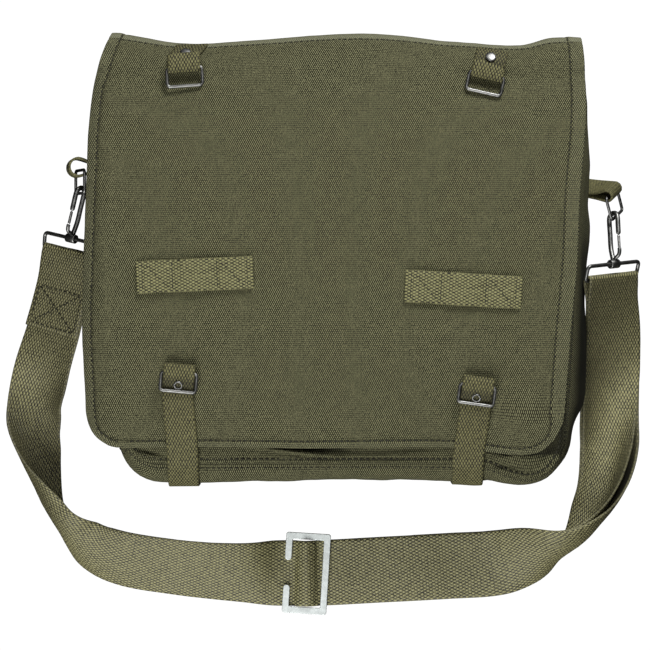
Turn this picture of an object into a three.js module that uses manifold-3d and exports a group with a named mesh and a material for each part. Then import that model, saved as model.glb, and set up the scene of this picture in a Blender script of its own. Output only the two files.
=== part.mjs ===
// Canvas shoulder bag lying on its back with its strap laid round it.
// Millimetres, +X to the right of the front, +Y towards the mouth, +Z out of the front.
// The origin is on the back panel's outer face, which rests on the ground at z = 0.

import * as THREE from 'three';
import Module from 'manifold-3d';

const wasm = await Module();
wasm.setup();

const radians = THREE.MathUtils.degToRad;
const { smoothstep, lerp, clamp } = THREE.MathUtils;

// Materials and clearances
const gap = 0.3;
const flapClearance = 0.8;
const canvas = 1.5;
const webbing = 1.8;

// Body of the bag: side seams and filled depth at heights from the bottom seam to the mouth
const bodySections = [
  { y: -104, left: -152, right: 180, depth: 69 },
  { y: -60, left: -153, right: 181, depth: 77 },
  { y: 0, left: -154, right: 184, depth: 80 },
  { y: 70, left: -155, right: 188, depth: 77 },
  { y: 140, left: -155, right: 191, depth: 68 },
  { y: 204, left: -151, right: 186, depth: 50 },
];
const bodyBottom = -104;
const bottomCorner = 33;
const frontCrown = 7;
const crownRun = 45;
const panelSteps = [0, 2, 6, 12, 21, 33, 60, 92, 128, 166, 204, 240, 274, 308];
const panelColumns = 12;
const gussetColumns = 4;

// How far the gusset bulges at its middle: up the sides, and along the bottom
const sideBulges = [
  { y: -104, left: 12.5, right: 8.5 },
  { y: -75, left: 10.4, right: 8.8 },
  { y: -30, left: 13.4, right: 12.6 },
  { y: 10, left: 13.4, right: 13.4 },
  { y: 60, left: 11.3, right: 11.3 },
  { y: 204, left: 11, right: 11 },
];
const bottomBulges = [
  { x: -152, bulge: 14.5 },
  { x: -65, bulge: 14 },
  { x: 0, bulge: 12.2 },
  { x: 60, bulge: 11.8 },
  { x: 100, bulge: 13.2 },
  { x: 140, bulge: 17.2 },
  { x: 162, bulge: 17.6 },
  { x: 180, bulge: 12.5 },
];

// Flap: rows from its seam on the back, over the mouth, to the start of the front
const flapTopRows = [
  { y: 205, z: 0.85, wave: 0 },
  { y: 213, z: 6, wave: 0.5 },
  { y: 218, z: 20, wave: 0.9 },
  { y: 219, z: 34, wave: 1 },
  { y: 216, z: 47, wave: 0.9 },
  { y: 209, z: 56.5, wave: 0.7 },
  { y: 199, z: 61.5, wave: 0.3 },
];
const flapFrontRows = [186, 168, 146, 120, 94, 68, 42, 16, -10, -34, -54];
const flapHemRows = [25, 15, 7.5, 2.5, 0];
const flapColumns = 18;
const flapCorner = 25;
const flapHem = -92;
const flapSideSag = 4;
const sagStart = 20;
const sagEnd = 60;
const overhangRadius = 26;
const edgeRest = 5;
const seamInset = 20;
const seamEnd = 30;

// Side edges of the flap, from its hem to the fold over the mouth
const flapEdges = [
  { y: -98, left: -180, right: 177 },
  { y: -57, left: -180.5, right: 181 },
  { y: -4, left: -183, right: 185 },
  { y: 49, left: -182, right: 190 },
  { y: 95, left: -180.5, right: 192 },
  { y: 156, left: -178.5, right: 197.5 },
  { y: 190, left: -174, right: 197.5 },
  { y: 219, left: -163, right: 196 },
  { y: 232, left: -156, right: 195 },
];

// Wavy line of the fold over the mouth, and of the hem
const flapTopWave = [
  { x: -190, rise: 2 },
  { x: -160, rise: 4.5 },
  { x: -111, rise: -3.2 },
  { x: -57, rise: -1 },
  { x: 27, rise: 4.5 },
  { x: 96, rise: -1.6 },
  { x: 150, rise: -4.5 },
  { x: 174, rise: 1 },
  { x: 205, rise: 0.5 },
];
const flapHemLine = [
  { x: -190, y: -93 },
  { x: -60, y: -91.5 },
  { x: 90, y: -92 },
  { x: 150, y: -98 },
  { x: 190, y: -97 },
];

// Soft folds in the flap: a ridge (or dent) at x, y along a heading, with its reach along and across
const flapFolds = [
  { x: -150, y: 190, heading: -15, along: 18, across: 7, height: 1.6 },
  { x: 168, y: 150, heading: 75, along: 40, across: 12, height: 1.4 },
  { x: 20, y: 120, heading: 75, along: 70, across: 30, height: 2.2 },
  { x: -70, y: 70, heading: 100, along: 60, across: 26, height: 1.4 },
  { x: 60, y: -20, heading: 15, along: 60, across: 22, height: 1.6 },
  { x: -20, y: -72, heading: -6, along: 70, across: 12, height: 1.5 },
  { x: 160, y: -60, heading: 70, along: 34, across: 12, height: 1.8 },
];

// Webbing pieces on the front
const bandWidth = 23.5;
const bandShares = [-0.5, 0, 0.5];
// Closing straps: place of the ring's upper bar, its turn, and how far the strap has leant at the bottom
const closures = [
  { side: 'left', x: -109.5, bar: -36, turn: -5, lean: 2 },
  { side: 'right', x: 115, bar: -45.5, turn: -8, lean: -6.5 },
];
const closureBarPitch = 14;
const closureTail = 24;
const closureSlack = 3.4;
const turnRun = 40;
const clothPlay = 0.7;

// Closing strap: shares of the gusset's depth that it follows, then its rise above the panel and the flap
const closureGussetShares = [0.18, 0.32, 0.46, 0.6, 0.74, 0.87];
const closurePanelRows = [
  { y: -106.8, rise: 1.8 },
  { y: -100, rise: 3 },
];
const closureHemRow = { y: -88, rise: 0.4 };
const tailClearance = 4;

// Its climb to the ring's upper bar, as distances below the bar and the share of the rise reached,
// and the rows of its end under it
const climbStart = 12.5;
const climbEnd = 6;
const climbShare = 0.6;
const doubledStart = 3;
const tailRows = [8, 16, closureTail - 2];

const keepers = [
  { side: 'left', x: -98, y: 37.6, turn: 2.4 },
  { side: 'right', x: 104, y: 26.7, turn: -3.5 },
];
const keeperLength = 87;
const keeperLoop = 34;
const keeperRise = 1.4;
const keeperSteps = 12;

// Top tabs: place and turn of the ring's upper bar, how far the tab leans above its square fold,
// and the distance of its rivet up from the bar
const topTabs = [
  { side: 'left', x: -107, bar: 195.5, turn: 4, lean: 7, rivet: 10.5 },
  { side: 'right', x: 123, bar: 189.5, turn: -13, lean: 0, rivet: 13 },
];
const topTabLength = 21;
const tabSquare = 6;
const tabPlay = 0.7;
const flapLineSteps = 160;
const ringLean = radians(-4);

// Rows of a top tab by their distance up from the bar: the layer on the flap, and the short end over it
// with the share of the bar's height that is left there
const tabUnder = [topTabLength, 14, 8, 5.5, 3];
const tabOver = [
  { up: 3, slack: 0.95 },
  { up: 7.2, slack: 0.8 },
];

// Wire rings and links
const ringWire = 1.1;
const ringInner = 24.6;
const ringDrop = 14;
const ringCorner = 2.4;
const wireSides = 6;
const cornerSteps = 3;
const linkWire = 1.2;
const linkInner = 20.8;
const linkPitch = 17.6;
const loopWidth = 20;
const loopRoot = 1.3;
const loopWaist = 0.45;
const loopTurn = 110;
const loopSteps = 7;

// Rivets and press studs: radius and height of a domed head
const rivetRadius = 4.2;
const studRadius = 2.8;
const headHeight = 1.6;
const headProfile = [
  { out: 0, up: 0 },
  { out: 1, up: 0 },
  { out: 1, up: 0.35 },
  { out: 0.6, up: 0.85 },
  { out: 0, up: 1 },
];
const headSides = 14;
const foldSteps = 5;
const closureTurn = ringWire + tabPlay + webbing / 2;

// Snap hooks: a hook of round wire on a barrel that turns on the strap frame's upper bar
const hookWire = 1.9;
const hookBend = 4.6;
const hookPlay = 1.3;
const hookStem = 2.2;
const bendAngles = [0, 45, 90, 135, 180];
const stemLine = [
  { x: 0.4, y: 2.6 },
  { x: hookStem, y: 13 },
  { x: hookStem, y: 24 },
];
const armWire = 1.5;
const armRoot = 3.2;
const armElbow = { x: -5.6, y: 5.6 };
const armEnd = 2.4;
const noseEnd = 22;
const barrelLength = 9;
const barrelWall = 1.6;
const barrelPlay = 0.4;
const hookSteps = 18;
const armSteps = 6;
const gateFoot = 11;
const gateRadius = 1.1;
const gateSides = 8;
const gatePlay = 0.6;
const frameWire = 1.5;
const frameInner = 51.2;
const framePitch = 12;
const frameCorner = 3;

// Side loops, links and hooks: base on the gusset, the direction of the loop's width there and at
// its end, way out, and the place and direction of the link's bar in it
const sideFittings = [
  {
    side: 'left',
    base: [-169.6, 120.5, 43],
    root: [0, 0, 1],
    out: [-0.985, 0, 0.17],
    width: [0.17, 0, 0.985],
    loop: 27,
    belly: 6.8,
    barAlong: 18,
    barFall: 2.2,
    linkWay: [0.36, 0, 0.933],
    linkFall: [0, -1, 0],
    linkSlide: 0,
    noseWay: [-0.6, 0, 0.8],
  },
  {
    side: 'right',
    base: [204.6, 108.5, 38],
    root: [0, 0.6, -0.8],
    out: [0.88, -0.39, 0.27],
    width: [0.43, 0.37, -0.82],
    loop: 21,
    belly: 4.4,
    barAlong: 16.6,
    barFall: 1.5,
    linkWay: [0.43, 0.37, -0.82],
    linkFall: [0.267, -0.923, -0.277],
    linkSlide: -8,
    noseWay: [0.6, 0, 0.8],
  },
];

// Shoulder strap: stations from the left frame round the bottom to the right frame.
// twist turns the width from right (0) over up (90) to left (180) of the way along,
// curl is the angle of the arc that the width makes, lift the height of its lowest edge.
const strapWidth = 50;
const strapStations = [
  { x: -195.7, y: 54.8, lift: 20, twist: -35, curl: 0 },
  { x: -202, y: 29, lift: 12, twist: -34, curl: 0 },
  { x: -209.8, y: 0.8, lift: 4, twist: -32, curl: 0 },
  { x: -218.6, y: -30, lift: 0.2, twist: -28, curl: 25 },
  { x: -225.8, y: -62, lift: 0, twist: -14, curl: 108 },
  { x: -224.3, y: -83.5, lift: 0, twist: 24, curl: 128 },
  { x: -218.4, y: -102.2, lift: 0, twist: 48, curl: 138 },
  { x: -212, y: -117.5, lift: 0, twist: 70, curl: 150 },
  { x: -204.5, y: -133.5, lift: 0, twist: 92, curl: 150 },
  { x: -197.2, y: -148, lift: 0, twist: 115, curl: 130 },
  { x: -188, y: -162.2, lift: 0, twist: 135, curl: 100 },
  { x: -174.7, y: -174, lift: 0, twist: 146, curl: 60 },
  { x: -153, y: -182, lift: 0, twist: 150, curl: 25 },
  { x: -121, y: -187.2, lift: 0, twist: 151, curl: 0 },
  { x: -89.7, y: -190.7, lift: 0, twist: 153, curl: 0 },
  { x: -58.5, y: -192.6, lift: 0, twist: 160, curl: 0 },
  { x: -38, y: -193.2, lift: 0, twist: 177, curl: 0 },
  { x: -25, y: -193.3, lift: 0, twist: 180, curl: 0 },
  { x: -20, y: -193.4, lift: 4.2, twist: 180, curl: 0 },
  { x: -14.5, y: -193.4, lift: 6.5, twist: 180, curl: 0 },
  { x: -9, y: -193.3, lift: 4.2, twist: 180, curl: 0 },
  { x: -4, y: -193.2, lift: 0, twist: 180, curl: 0 },
  { x: 12, y: -192.5, lift: 0, twist: 180, curl: 0 },
  { x: 38, y: -191, lift: 0.4, twist: 180, curl: 0 },
  { x: 66, y: -189.4, lift: 1.3, twist: 180, curl: 0 },
  { x: 98, y: -187.6, lift: 1.3, twist: 180, curl: 0 },
  { x: 128, y: -185.8, lift: 1.3, twist: 176, curl: 0 },
  { x: 147, y: -183, lift: 1.3, twist: 158, curl: 40 },
  { x: 166, y: -175.5, lift: 1.3, twist: 126, curl: 105 },
  { x: 184, y: -161, lift: 1.3, twist: 92, curl: 150 },
  { x: 199.5, y: -144.5, lift: 1.3, twist: 64, curl: 150 },
  { x: 210.5, y: -129, lift: 1.3, twist: 43, curl: 135 },
  { x: 217, y: -112.5, lift: 1.3, twist: 26, curl: 122 },
  { x: 220.3, y: -94, lift: 1.3, twist: 12, curl: 110 },
  { x: 220.8, y: -77.5, lift: 1.3, twist: -4, curl: 104 },
  { x: 221.4, y: -57, lift: 1.3, twist: -16, curl: 84 },
  { x: 222.6, y: -31, lift: 1.3, twist: -27, curl: 30 },
  { x: 222.4, y: -4, lift: 8, twist: -31, curl: 0 },
  { x: 220.5, y: 17, lift: 21, twist: -36, curl: 0 },
  { x: 218.4, y: 35.5, lift: 31.5, twist: -39, curl: 0 },
];
const strapColumns = [-0.5, -0.25, 0, 0.25, 0.5];
const strapSubsteps = 2;
const seatShares = [-0.5, -0.35, -0.2, 0, 0.2, 0.35, 0.5];
const strapReach = 0.05;
const straightCurl = 0.01;
const overlapEnd = 2.2;
const returnEnd = 24;
const layerOffset = 1.15;
const wrapPlay = 1.1;
const wrapRadius = frameWire + wrapPlay + webbing / 2;
const wrapTurns = 6;

// C-shaped strap slider of flat bar
const slider = {
  x: -14.5,
  y: -193.4,
  width: 34.8,
  height: 63,
  bar: 5.2,
  mouth: 19,
  thick: 1.8,
  turn: -3.5,
};
const sliderCorner = 2;
const sliderSegments = 5;
const sliderSeat = 3.2;

const olive = new THREE.MeshStandardMaterial({ color: 0x57553a, roughness: 0.95, metalness: 0 });
const oliveWebbing = new THREE.MeshStandardMaterial({ color: 0x6b6a49, roughness: 0.9, metalness: 0 });
const darkNickel = new THREE.MeshStandardMaterial({ color: 0x6f6f6c, roughness: 0.3, metalness: 1 });
const aluminium = new THREE.MeshStandardMaterial({ color: 0xdfe3e4, roughness: 0.4, metalness: 1 });

const vector = (x, y, z) => new THREE.Vector3(x, y, z);
const toVector = (list) => new THREE.Vector3(...list).normalize();

// Smooth value of a table's column at a place on its rising key column
function sample(table, key, column, place) {
  const last = table.length - 1;
  const at = clamp(place, table[0][key], table[last][key]);
  let index = 0;
  while (index < last - 1 && table[index + 1][key] < at) index += 1;
  const slope = (row) => {
    const before = table[Math.max(row - 1, 0)];
    const after = table[Math.min(row + 1, last)];
    return (after[column] - before[column]) / (after[key] - before[key]);
  };
  const from = table[index];
  const to = table[index + 1];
  const span = to[key] - from[key];
  const t = (at - from[key]) / span;
  const rise = to[column] - from[column];
  const bend = t * (1 - t) * span * ((1 - t) * slope(index) - t * slope(index + 1));
  return from[column] + rise * t * t * (3 - 2 * t) + bend;
}

// Geometry from points and triangles, turned so that its faces point out
function solidFrom(points, triangles) {
  let volume = 0;
  for (const [a, b, c] of triangles) {
    volume += points[a].dot(vector(0, 0, 0).crossVectors(points[b], points[c]));
  }
  const facing = volume > 0 ? triangles : triangles.map(([a, b, c]) => [a, c, b]);
  const geometry = new THREE.BufferGeometry();
  const places = points.flatMap((point) => point.toArray());
  geometry.setAttribute('position', new THREE.Float32BufferAttribute(places, 3));
  geometry.setIndex(facing.flat());
  geometry.computeVertexNormals();
  return geometry;
}

// Normals of a grid of points from the differences to the neighbouring points
function gridNormals(rows) {
  const pick = (i, j) => rows[clamp(i, 0, rows.length - 1)][clamp(j, 0, rows[0].length - 1)];
  return rows.map((row, i) => row.map((_, j) => {
    const along = pick(i + 1, j).clone().sub(pick(i - 1, j));
    const across = pick(i, j + 1).clone().sub(pick(i, j - 1));
    return across.cross(along).normalize();
  }));
}

// Closed sheet: rows of points on its middle surface, thickened both ways along the normals
function sheet(rows, thickness, normals = gridNormals(rows)) {
  const height = rows.length;
  const width = rows[0].length;
  const points = [];
  for (const side of [1, -1]) {
    rows.forEach((row, i) => row.forEach((point, j) => {
      points.push(point.clone().addScaledVector(normals[i][j], side * thickness / 2));
    }));
  }
  const under = height * width;
  const triangles = [];
  const quad = (a, b, c, d) => triangles.push([a, b, c], [a, c, d]);
  for (let i = 0; i < height - 1; i += 1) {
    for (let j = 0; j < width - 1; j += 1) {
      const a = i * width + j;
      quad(a, a + 1, a + width + 1, a + width);
      quad(under + a, under + a + width, under + a + width + 1, under + a + 1);
    }
  }
  const rim = [];
  for (let j = 0; j < width - 1; j += 1) rim.push(j);
  for (let i = 0; i < height - 1; i += 1) rim.push(i * width + width - 1);
  for (let j = width - 1; j > 0; j -= 1) rim.push((height - 1) * width + j);
  for (let i = height - 1; i > 0; i -= 1) rim.push(i * width);
  rim.forEach((a, k) => {
    const b = rim[(k + 1) % rim.length];
    quad(a, under + a, under + b, b);
  });
  return solidFrom(points, triangles);
}

// Closed wire loop in the XY plane: a rounded rectangle between wire centres
function wireLoop(width, height, corner, wire) {
  const points = [];
  const spots = [[1, 1], [-1, 1], [-1, -1], [1, -1]];
  spots.forEach(([sx, sy], quarter) => {
    const centre = vector(sx * (width / 2 - corner), sy * (height / 2 - corner), 0);
    for (let step = 0; step <= cornerSteps; step += 1) {
      const angle = radians(90 * (quarter + step / cornerSteps));
      const out = vector(Math.cos(angle), Math.sin(angle), 0);
      for (let side = 0; side < wireSides; side += 1) {
        const turn = radians(360 * (side + 0.5) / wireSides);
        const point = centre.clone().addScaledVector(out, corner + wire * Math.cos(turn));
        point.z = wire * Math.sin(turn);
        points.push(point);
      }
    }
  });
  const rings = points.length / wireSides;
  const triangles = [];
  for (let ring = 0; ring < rings; ring += 1) {
    for (let side = 0; side < wireSides; side += 1) {
      const a = ring * wireSides + side;
      const b = ring * wireSides + (side + 1) % wireSides;
      const c = ((ring + 1) % rings) * wireSides + (side + 1) % wireSides;
      const d = ((ring + 1) % rings) * wireSides + side;
      triangles.push([a, b, c], [a, c, d]);
    }
  }
  return solidFrom(points, triangles);
}

// Geometry with shared corners merged, as a solid that can be joined
function toSolid(geometry) {
  const positions = geometry.attributes.position;
  const order = geometry.index ? [...geometry.index.array] : [...Array(positions.count).keys()];
  const seen = new Map();
  const vertices = [];
  const triangles = order.map((index) => {
    const place = [positions.getX(index), positions.getY(index), positions.getZ(index)];
    const label = place.map((value) => Math.round(value * 1e4)).join(' ');
    if (!seen.has(label)) {
      seen.set(label, seen.size);
      vertices.push(...place);
    }
    return seen.get(label);
  });
  const kept = [];
  for (let k = 0; k < triangles.length; k += 3) {
    const [a, b, c] = triangles.slice(k, k + 3);
    if (a !== b && b !== c && c !== a) kept.push(a, b, c);
  }
  const vertProperties = new Float32Array(vertices);
  const triVerts = new Uint32Array(kept);
  return new wasm.Manifold(new wasm.Mesh({ numProp: 3, vertProperties, triVerts }));
}

function join(...geometries) {
  const joined = geometries.map(toSolid).reduce((whole, solid) => whole.add(solid));
  const mesh = joined.getMesh();
  const geometry = new THREE.BufferGeometry();
  geometry.setAttribute('position', new THREE.Float32BufferAttribute([...mesh.vertProperties], 3));
  geometry.setIndex([...mesh.triVerts]);
  geometry.computeVertexNormals();
  return geometry;
}

// Round wire along a smooth curve through points, with closed ends
function wireAlong(points, wire, steps) {
  const section = new THREE.Shape();
  section.absarc(0, 0, wire, 0, 2 * Math.PI);
  const extrudePath = new THREE.CatmullRomCurve3(points, false, 'centripetal');
  return new THREE.ExtrudeGeometry(section, { steps, extrudePath, curveSegments: wireSides / 2 });
}

const bag = new THREE.Group();

function addPiece(name, geometry, material, parent = bag) {
  const mesh = new THREE.Mesh(geometry, material);
  mesh.name = name;
  parent.add(mesh);
  return mesh;
}

// Group whose local axes are the given directions
function placed(origin, xAxis, yAxis) {
  const group = new THREE.Group();
  const zAxis = xAxis.clone().cross(yAxis).normalize();
  const upright = zAxis.clone().cross(xAxis).normalize();
  group.quaternion.setFromRotationMatrix(new THREE.Matrix4().makeBasis(xAxis, upright, zAxis));
  group.position.copy(origin);
  bag.add(group);
  return group;
}

// Side seam of the body at a height, drawn in round the bottom corners
function sideSeam(y, side) {
  const plain = sample(bodySections, 'y', side, y);
  const below = Math.max(bottomCorner - (y - bodyBottom), 0);
  const inset = bottomCorner - Math.sqrt(bottomCorner ** 2 - below ** 2);
  return side === 'left' ? plain + inset : plain - inset;
}

// Outer surface of the front panel
function frontHeight(x, y) {
  const left = sample(bodySections, 'y', 'left', y);
  const right = sample(bodySections, 'y', 'right', y);
  const across = clamp((2 * x - left - right) / (right - left), -1, 1);
  const rise = 1 - Math.exp(-Math.max(y - bodyBottom, 0) / crownRun);
  return sample(bodySections, 'y', 'depth', y) + frontCrown * (1 - across ** 2) * rise;
}

function panelRow(y, height) {
  const left = sideSeam(y, 'left');
  const right = sideSeam(y, 'right');
  const row = [];
  for (let column = 0; column <= panelColumns; column += 1) {
    const x = lerp(left, right, column / panelColumns);
    row.push(vector(x, y, height(x, y)));
  }
  return row;
}

function addPanels() {
  const heights = panelSteps.map((step) => bodyBottom + step);
  const outline = new THREE.Shape(seamLine().map((point) => new THREE.Vector2(point.x, point.y)));
  const back = new THREE.ExtrudeGeometry(outline, { depth: canvas, bevelEnabled: false });
  addPiece('back_panel', back, olive);
  const front = heights.map((y) => panelRow(y, (x, at) => frontHeight(x, at) - canvas / 2));
  const straightUp = front.map((row) => row.map(() => vector(0, 0, 1)));
  addPiece('front_panel', sheet(front, canvas, straightUp), olive);
}

// Seam line of the gusset: down the left side, along the bottom and up the right side
function seamLine() {
  const heights = panelSteps.map((step) => bodyBottom + step);
  const left = heights.map((y) => vector(sideSeam(y, 'left'), y, 0)).reverse();
  const bottom = panelRow(bodyBottom, () => 0).slice(1, -1);
  const right = heights.map((y) => vector(sideSeam(y, 'right'), y, 0));
  return [...left, ...bottom, ...right];
}

function addGusset() {
  const line = seamLine();
  const rows = [];
  const normals = [];
  line.forEach((point, index) => {
    const before = line[Math.max(index - 1, 0)];
    const after = line[Math.min(index + 1, line.length - 1)];
    const way = after.clone().sub(before).normalize();
    const out = vector(way.y, -way.x, 0);
    const sideways = sample(sideBulges, 'y', out.x < 0 ? 'left' : 'right', point.y);
    const bulge = lerp(sideways, sample(bottomBulges, 'x', 'bulge', point.x), Math.max(-out.y, 0));
    const top = frontHeight(point.x, point.y);
    const row = [];
    for (let column = 0; column <= gussetColumns; column += 1) {
      const share = column / gussetColumns;
      const reach = gap + canvas / 2 + bulge * Math.sin(Math.PI * share);
      const place = point.clone().addScaledVector(out, reach);
      place.z = top * share;
      row.push(place);
    }
    rows.push(row);
    normals.push(row.map(() => out));
  });
  addPiece('gusset', sheet(rows, canvas, normals), olive);
}

function foldHeight(x, y) {
  return flapFolds.reduce((height, fold) => {
    const heading = radians(fold.heading);
    const along = (x - fold.x) * Math.cos(heading) + (y - fold.y) * Math.sin(heading);
    const across = (y - fold.y) * Math.cos(heading) - (x - fold.x) * Math.sin(heading);
    return height + fold.height * Math.exp(-((along / fold.along) ** 2) - (across / fold.across) ** 2);
  }, 0);
}

// Middle of the flap's cloth where it lies on the front
function flapHeight(x, y) {
  const pastLeft = sample(bodySections, 'y', 'left', y) - x;
  const pastRight = x - sample(bodySections, 'y', 'right', y);
  const over = Math.max(pastLeft, pastRight, edgeRest) - edgeRest;
  const drop = over ** 2 / (2 * overhangRadius);
  return frontHeight(x, y) + flapClearance + canvas / 2 + foldHeight(x, y) - drop;
}

function flapTop(x, y) {
  return flapHeight(x, y) + canvas / 2;
}

// Point of the flap in a row over the mouth, at a share of the way across
function flapMouthPoint(row, share) {
  const left = sample(flapEdges, 'y', 'left', row.y);
  const right = sample(flapEdges, 'y', 'right', row.y);
  const behind = 1 - smoothstep(row.z, 0, seamEnd);
  const x = lerp(left + seamInset * behind, right - seamInset * behind, share);
  const rise = sample(flapTopWave, 'x', 'rise', x) * row.wave;
  const sag = flapSideSag * (2 * share - 1) ** 2 * smoothstep(row.z, sagStart, sagEnd);
  return vector(x, row.y + rise, row.z - sag);
}

function flapFrontPoint(y, share, fromHem) {
  const inset = flapCorner - Math.sqrt(flapCorner ** 2 - Math.max(flapCorner - fromHem, 0) ** 2);
  const left = sample(flapEdges, 'y', 'left', y) + inset;
  const right = sample(flapEdges, 'y', 'right', y) - inset;
  const x = lerp(left, right, share);
  return vector(x, y, flapHeight(x, y));
}

function flapHemPoint(fromHem, share) {
  const middle = flapFrontPoint(flapHem, share, fromHem);
  const y = sample(flapHemLine, 'x', 'y', middle.x) + fromHem;
  return flapFrontPoint(y, share, fromHem);
}

function addFlap() {
  const shares = Array.from({ length: flapColumns + 1 }, (_, column) => column / flapColumns);
  const rows = [
    ...flapTopRows.map((row) => shares.map((share) => flapMouthPoint(row, share))),
    ...flapFrontRows.map((y) => shares.map((share) => flapFrontPoint(y, share, flapCorner))),
    ...flapHemRows.map((fromHem) => shares.map((share) => flapHemPoint(fromHem, share))),
  ];
  addPiece('flap', sheet(rows, canvas), olive);
}

// Half turn of webbing round a bar, from under it (at -90 degrees) to over it
function turnRound(y, z, radius, from, to, steps = foldSteps) {
  const line = [];
  for (let step = 0; step <= steps; step += 1) {
    const angle = radians(lerp(from, to, step / steps));
    line.push([y + radius * Math.cos(angle), z + radius * Math.sin(angle)]);
  }
  return line;
}

// Height of the ring's upper bar, clear of the flap under all of the strap's fold
function closureBarHeight({ x, bar }) {
  const top = bar + closureSlack + closureTurn;
  const corners = bandShares.map((share) => flapTop(x + share * bandWidth, top));
  return Math.max(flapTop(x, bar), ...corners) + clothPlay + webbing + tabPlay + ringWire;
}

// Height of the doubled strap below the bar
function doubledHeight(x, y) {
  return flapTop(x, y) + clothPlay + webbing + gap + webbing / 2;
}

// Height of the strap where it ends its climb to the bar
function climbHeight(x, bar, barHeight) {
  const low = doubledHeight(x, bar - climbStart);
  return lerp(low, barHeight + closureTurn, climbShare);
}

// Sideways place of a closing strap's middle at a height, and how far a row leans down to the right
function closureShift({ bar, turn, lean }, y) {
  const below = bar - y;
  const turned = Math.tan(radians(turn)) * Math.min(below, closureBarPitch);
  const rest = lean - Math.tan(radians(turn)) * closureBarPitch;
  return turned + rest * smoothstep(below, closureBarPitch, bar - bodyBottom);
}

function closureSlope({ bar, turn }, y) {
  const below = bar - y;
  return Math.tan(radians(turn)) * (1 - smoothstep(below, closureBarPitch, turnRun));
}

// Closing strap: from the bottom gusset round to the front, up the flap and over the ring's upper bar.
// Points as x, y and z at one share of its width.
function closureLine(closure, share, barHeight) {
  const skin = gap + canvas + clothPlay + webbing / 2;
  const rest = clothPlay + webbing / 2;
  const { bar } = closure;
  const tail = bar - closureTail;
  const belowTail = tail - tailClearance;
  const across = share * bandWidth;
  const spot = (y, height) => {
    const x = closure.x + across + closureShift(closure, y);
    const place = y + across * closureSlope(closure, y);
    return vector(x, place, height(x, place));
  };
  const line = [];
  const edge = spot(bodyBottom, frontHeight);
  const bulge = sample(bottomBulges, 'x', 'bulge', edge.x);
  for (const part of closureGussetShares) {
    line.push(vector(edge.x, bodyBottom - skin - bulge * Math.sin(Math.PI * part), edge.z * part));
  }
  for (const { y, rise } of closurePanelRows) line.push(spot(y, (x, at) => frontHeight(x, at) + rise));
  line.push(spot(closureHemRow.y, (x, at) => flapTop(x, at) + rest + closureHemRow.rise));
  for (const y of [(closureHemRow.y + belowTail) / 2, belowTail]) {
    line.push(spot(y, (x, at) => flapTop(x, at) + rest));
  }
  for (const y of [tail + doubledStart, bar - climbStart]) line.push(spot(y, doubledHeight));
  line.push(spot(bar - climbEnd, (x) => climbHeight(x, bar, barHeight)));
  line.push(spot(bar, () => barHeight + closureTurn));
  const fold = turnRound(bar + closureSlack, barHeight, closureTurn, 90, -90);
  for (const [y, z] of fold) line.push(spot(y, () => z));
  for (const below of tailRows) line.push(spot(bar - below, (x, at) => flapTop(x, at) + rest));
  return line;
}

// Domed head of a rivet or stud, its flat underside at z = 0
function domedHead(radius) {
  const profile = headProfile.map(({ out, up }) => new THREE.Vector2(radius * out, headHeight * up));
  return new THREE.LatheGeometry(profile, headSides).rotateX(Math.PI / 2);
}

function addClosure(closure) {
  const { side, x, bar, turn } = closure;
  const barHeight = closureBarHeight(closure);
  const columns = bandShares.map((share) => closureLine(closure, share, barHeight));
  const rows = columns[0].map((_, k) => columns.map((column) => column[k]));
  addPiece(`closing_strap_${side}`, sheet(rows, webbing), oliveWebbing);
  const ring = wireLoop(ringInner + 2 * ringWire, closureBarPitch, ringCorner, ringWire);
  const strapHeight = doubledHeight(x, bar - closureBarPitch);
  const lowerHeight = strapHeight + webbing / 2 + clothPlay + ringWire;
  const slope = Math.asin((barHeight - lowerHeight) / closureBarPitch);
  const mesh = addPiece(`closing_ring_${side}`, ring, darkNickel);
  const ringMiddle = bar - closureBarPitch * Math.cos(slope) / 2;
  mesh.position.set(x + closureShift(closure, ringMiddle), ringMiddle, (barHeight + lowerHeight) / 2);
  mesh.rotation.set(slope, 0, radians(turn), 'ZXY');

  const low = doubledHeight(x, bar - climbStart);
  const high = climbHeight(x, bar, barHeight);
  const climb = Math.atan2(high - low, climbStart - climbEnd);
  const studPlace = bar - (climbStart + climbEnd) / 2;
  const studHeight = (low + high) / 2 + webbing / 2 + clothPlay;
  const stud = addPiece(`closing_stud_${side}`, domedHead(studRadius), darkNickel);
  stud.position.set(x + closureShift(closure, studPlace), studPlace, studHeight);
  stud.rotation.x = climb;
}

function addKeeper({ side, x, y, turn }) {
  const rows = [];
  for (let step = 0; step <= keeperSteps; step += 1) {
    const along = (step / keeperSteps - 0.5) * keeperLength;
    const row = bandShares.map((share) => {
      const across = share * bandWidth;
      const angle = radians(turn);
      const px = x + along * Math.cos(angle) - across * Math.sin(angle);
      const py = y + along * Math.sin(angle) + across * Math.cos(angle);
      const arch = keeperRise * (1 - smoothstep(Math.abs(along), keeperLoop / 4, keeperLoop / 2));
      return vector(px, py, flapTop(px, py) + gap + webbing / 2 + arch);
    });
    rows.push(row);
  }
  addPiece(`keeper_${side}`, sheet(rows, webbing), oliveWebbing);
}

// Line of the flap over the mouth and down the front at one x, as evenly spaced points
function flapLine(x) {
  const line = flapTopRows.slice(1).map((row) => {
    const left = flapMouthPoint(row, 0).x;
    const right = flapMouthPoint(row, 1).x;
    return flapMouthPoint(row, (x - left) / (right - left));
  });
  for (const y of flapFrontRows.slice(0, 3)) line.push(vector(x, y, flapHeight(x, y)));
  return new THREE.CatmullRomCurve3(line, false, 'centripetal').getSpacedPoints(flapLineSteps);
}

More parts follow.
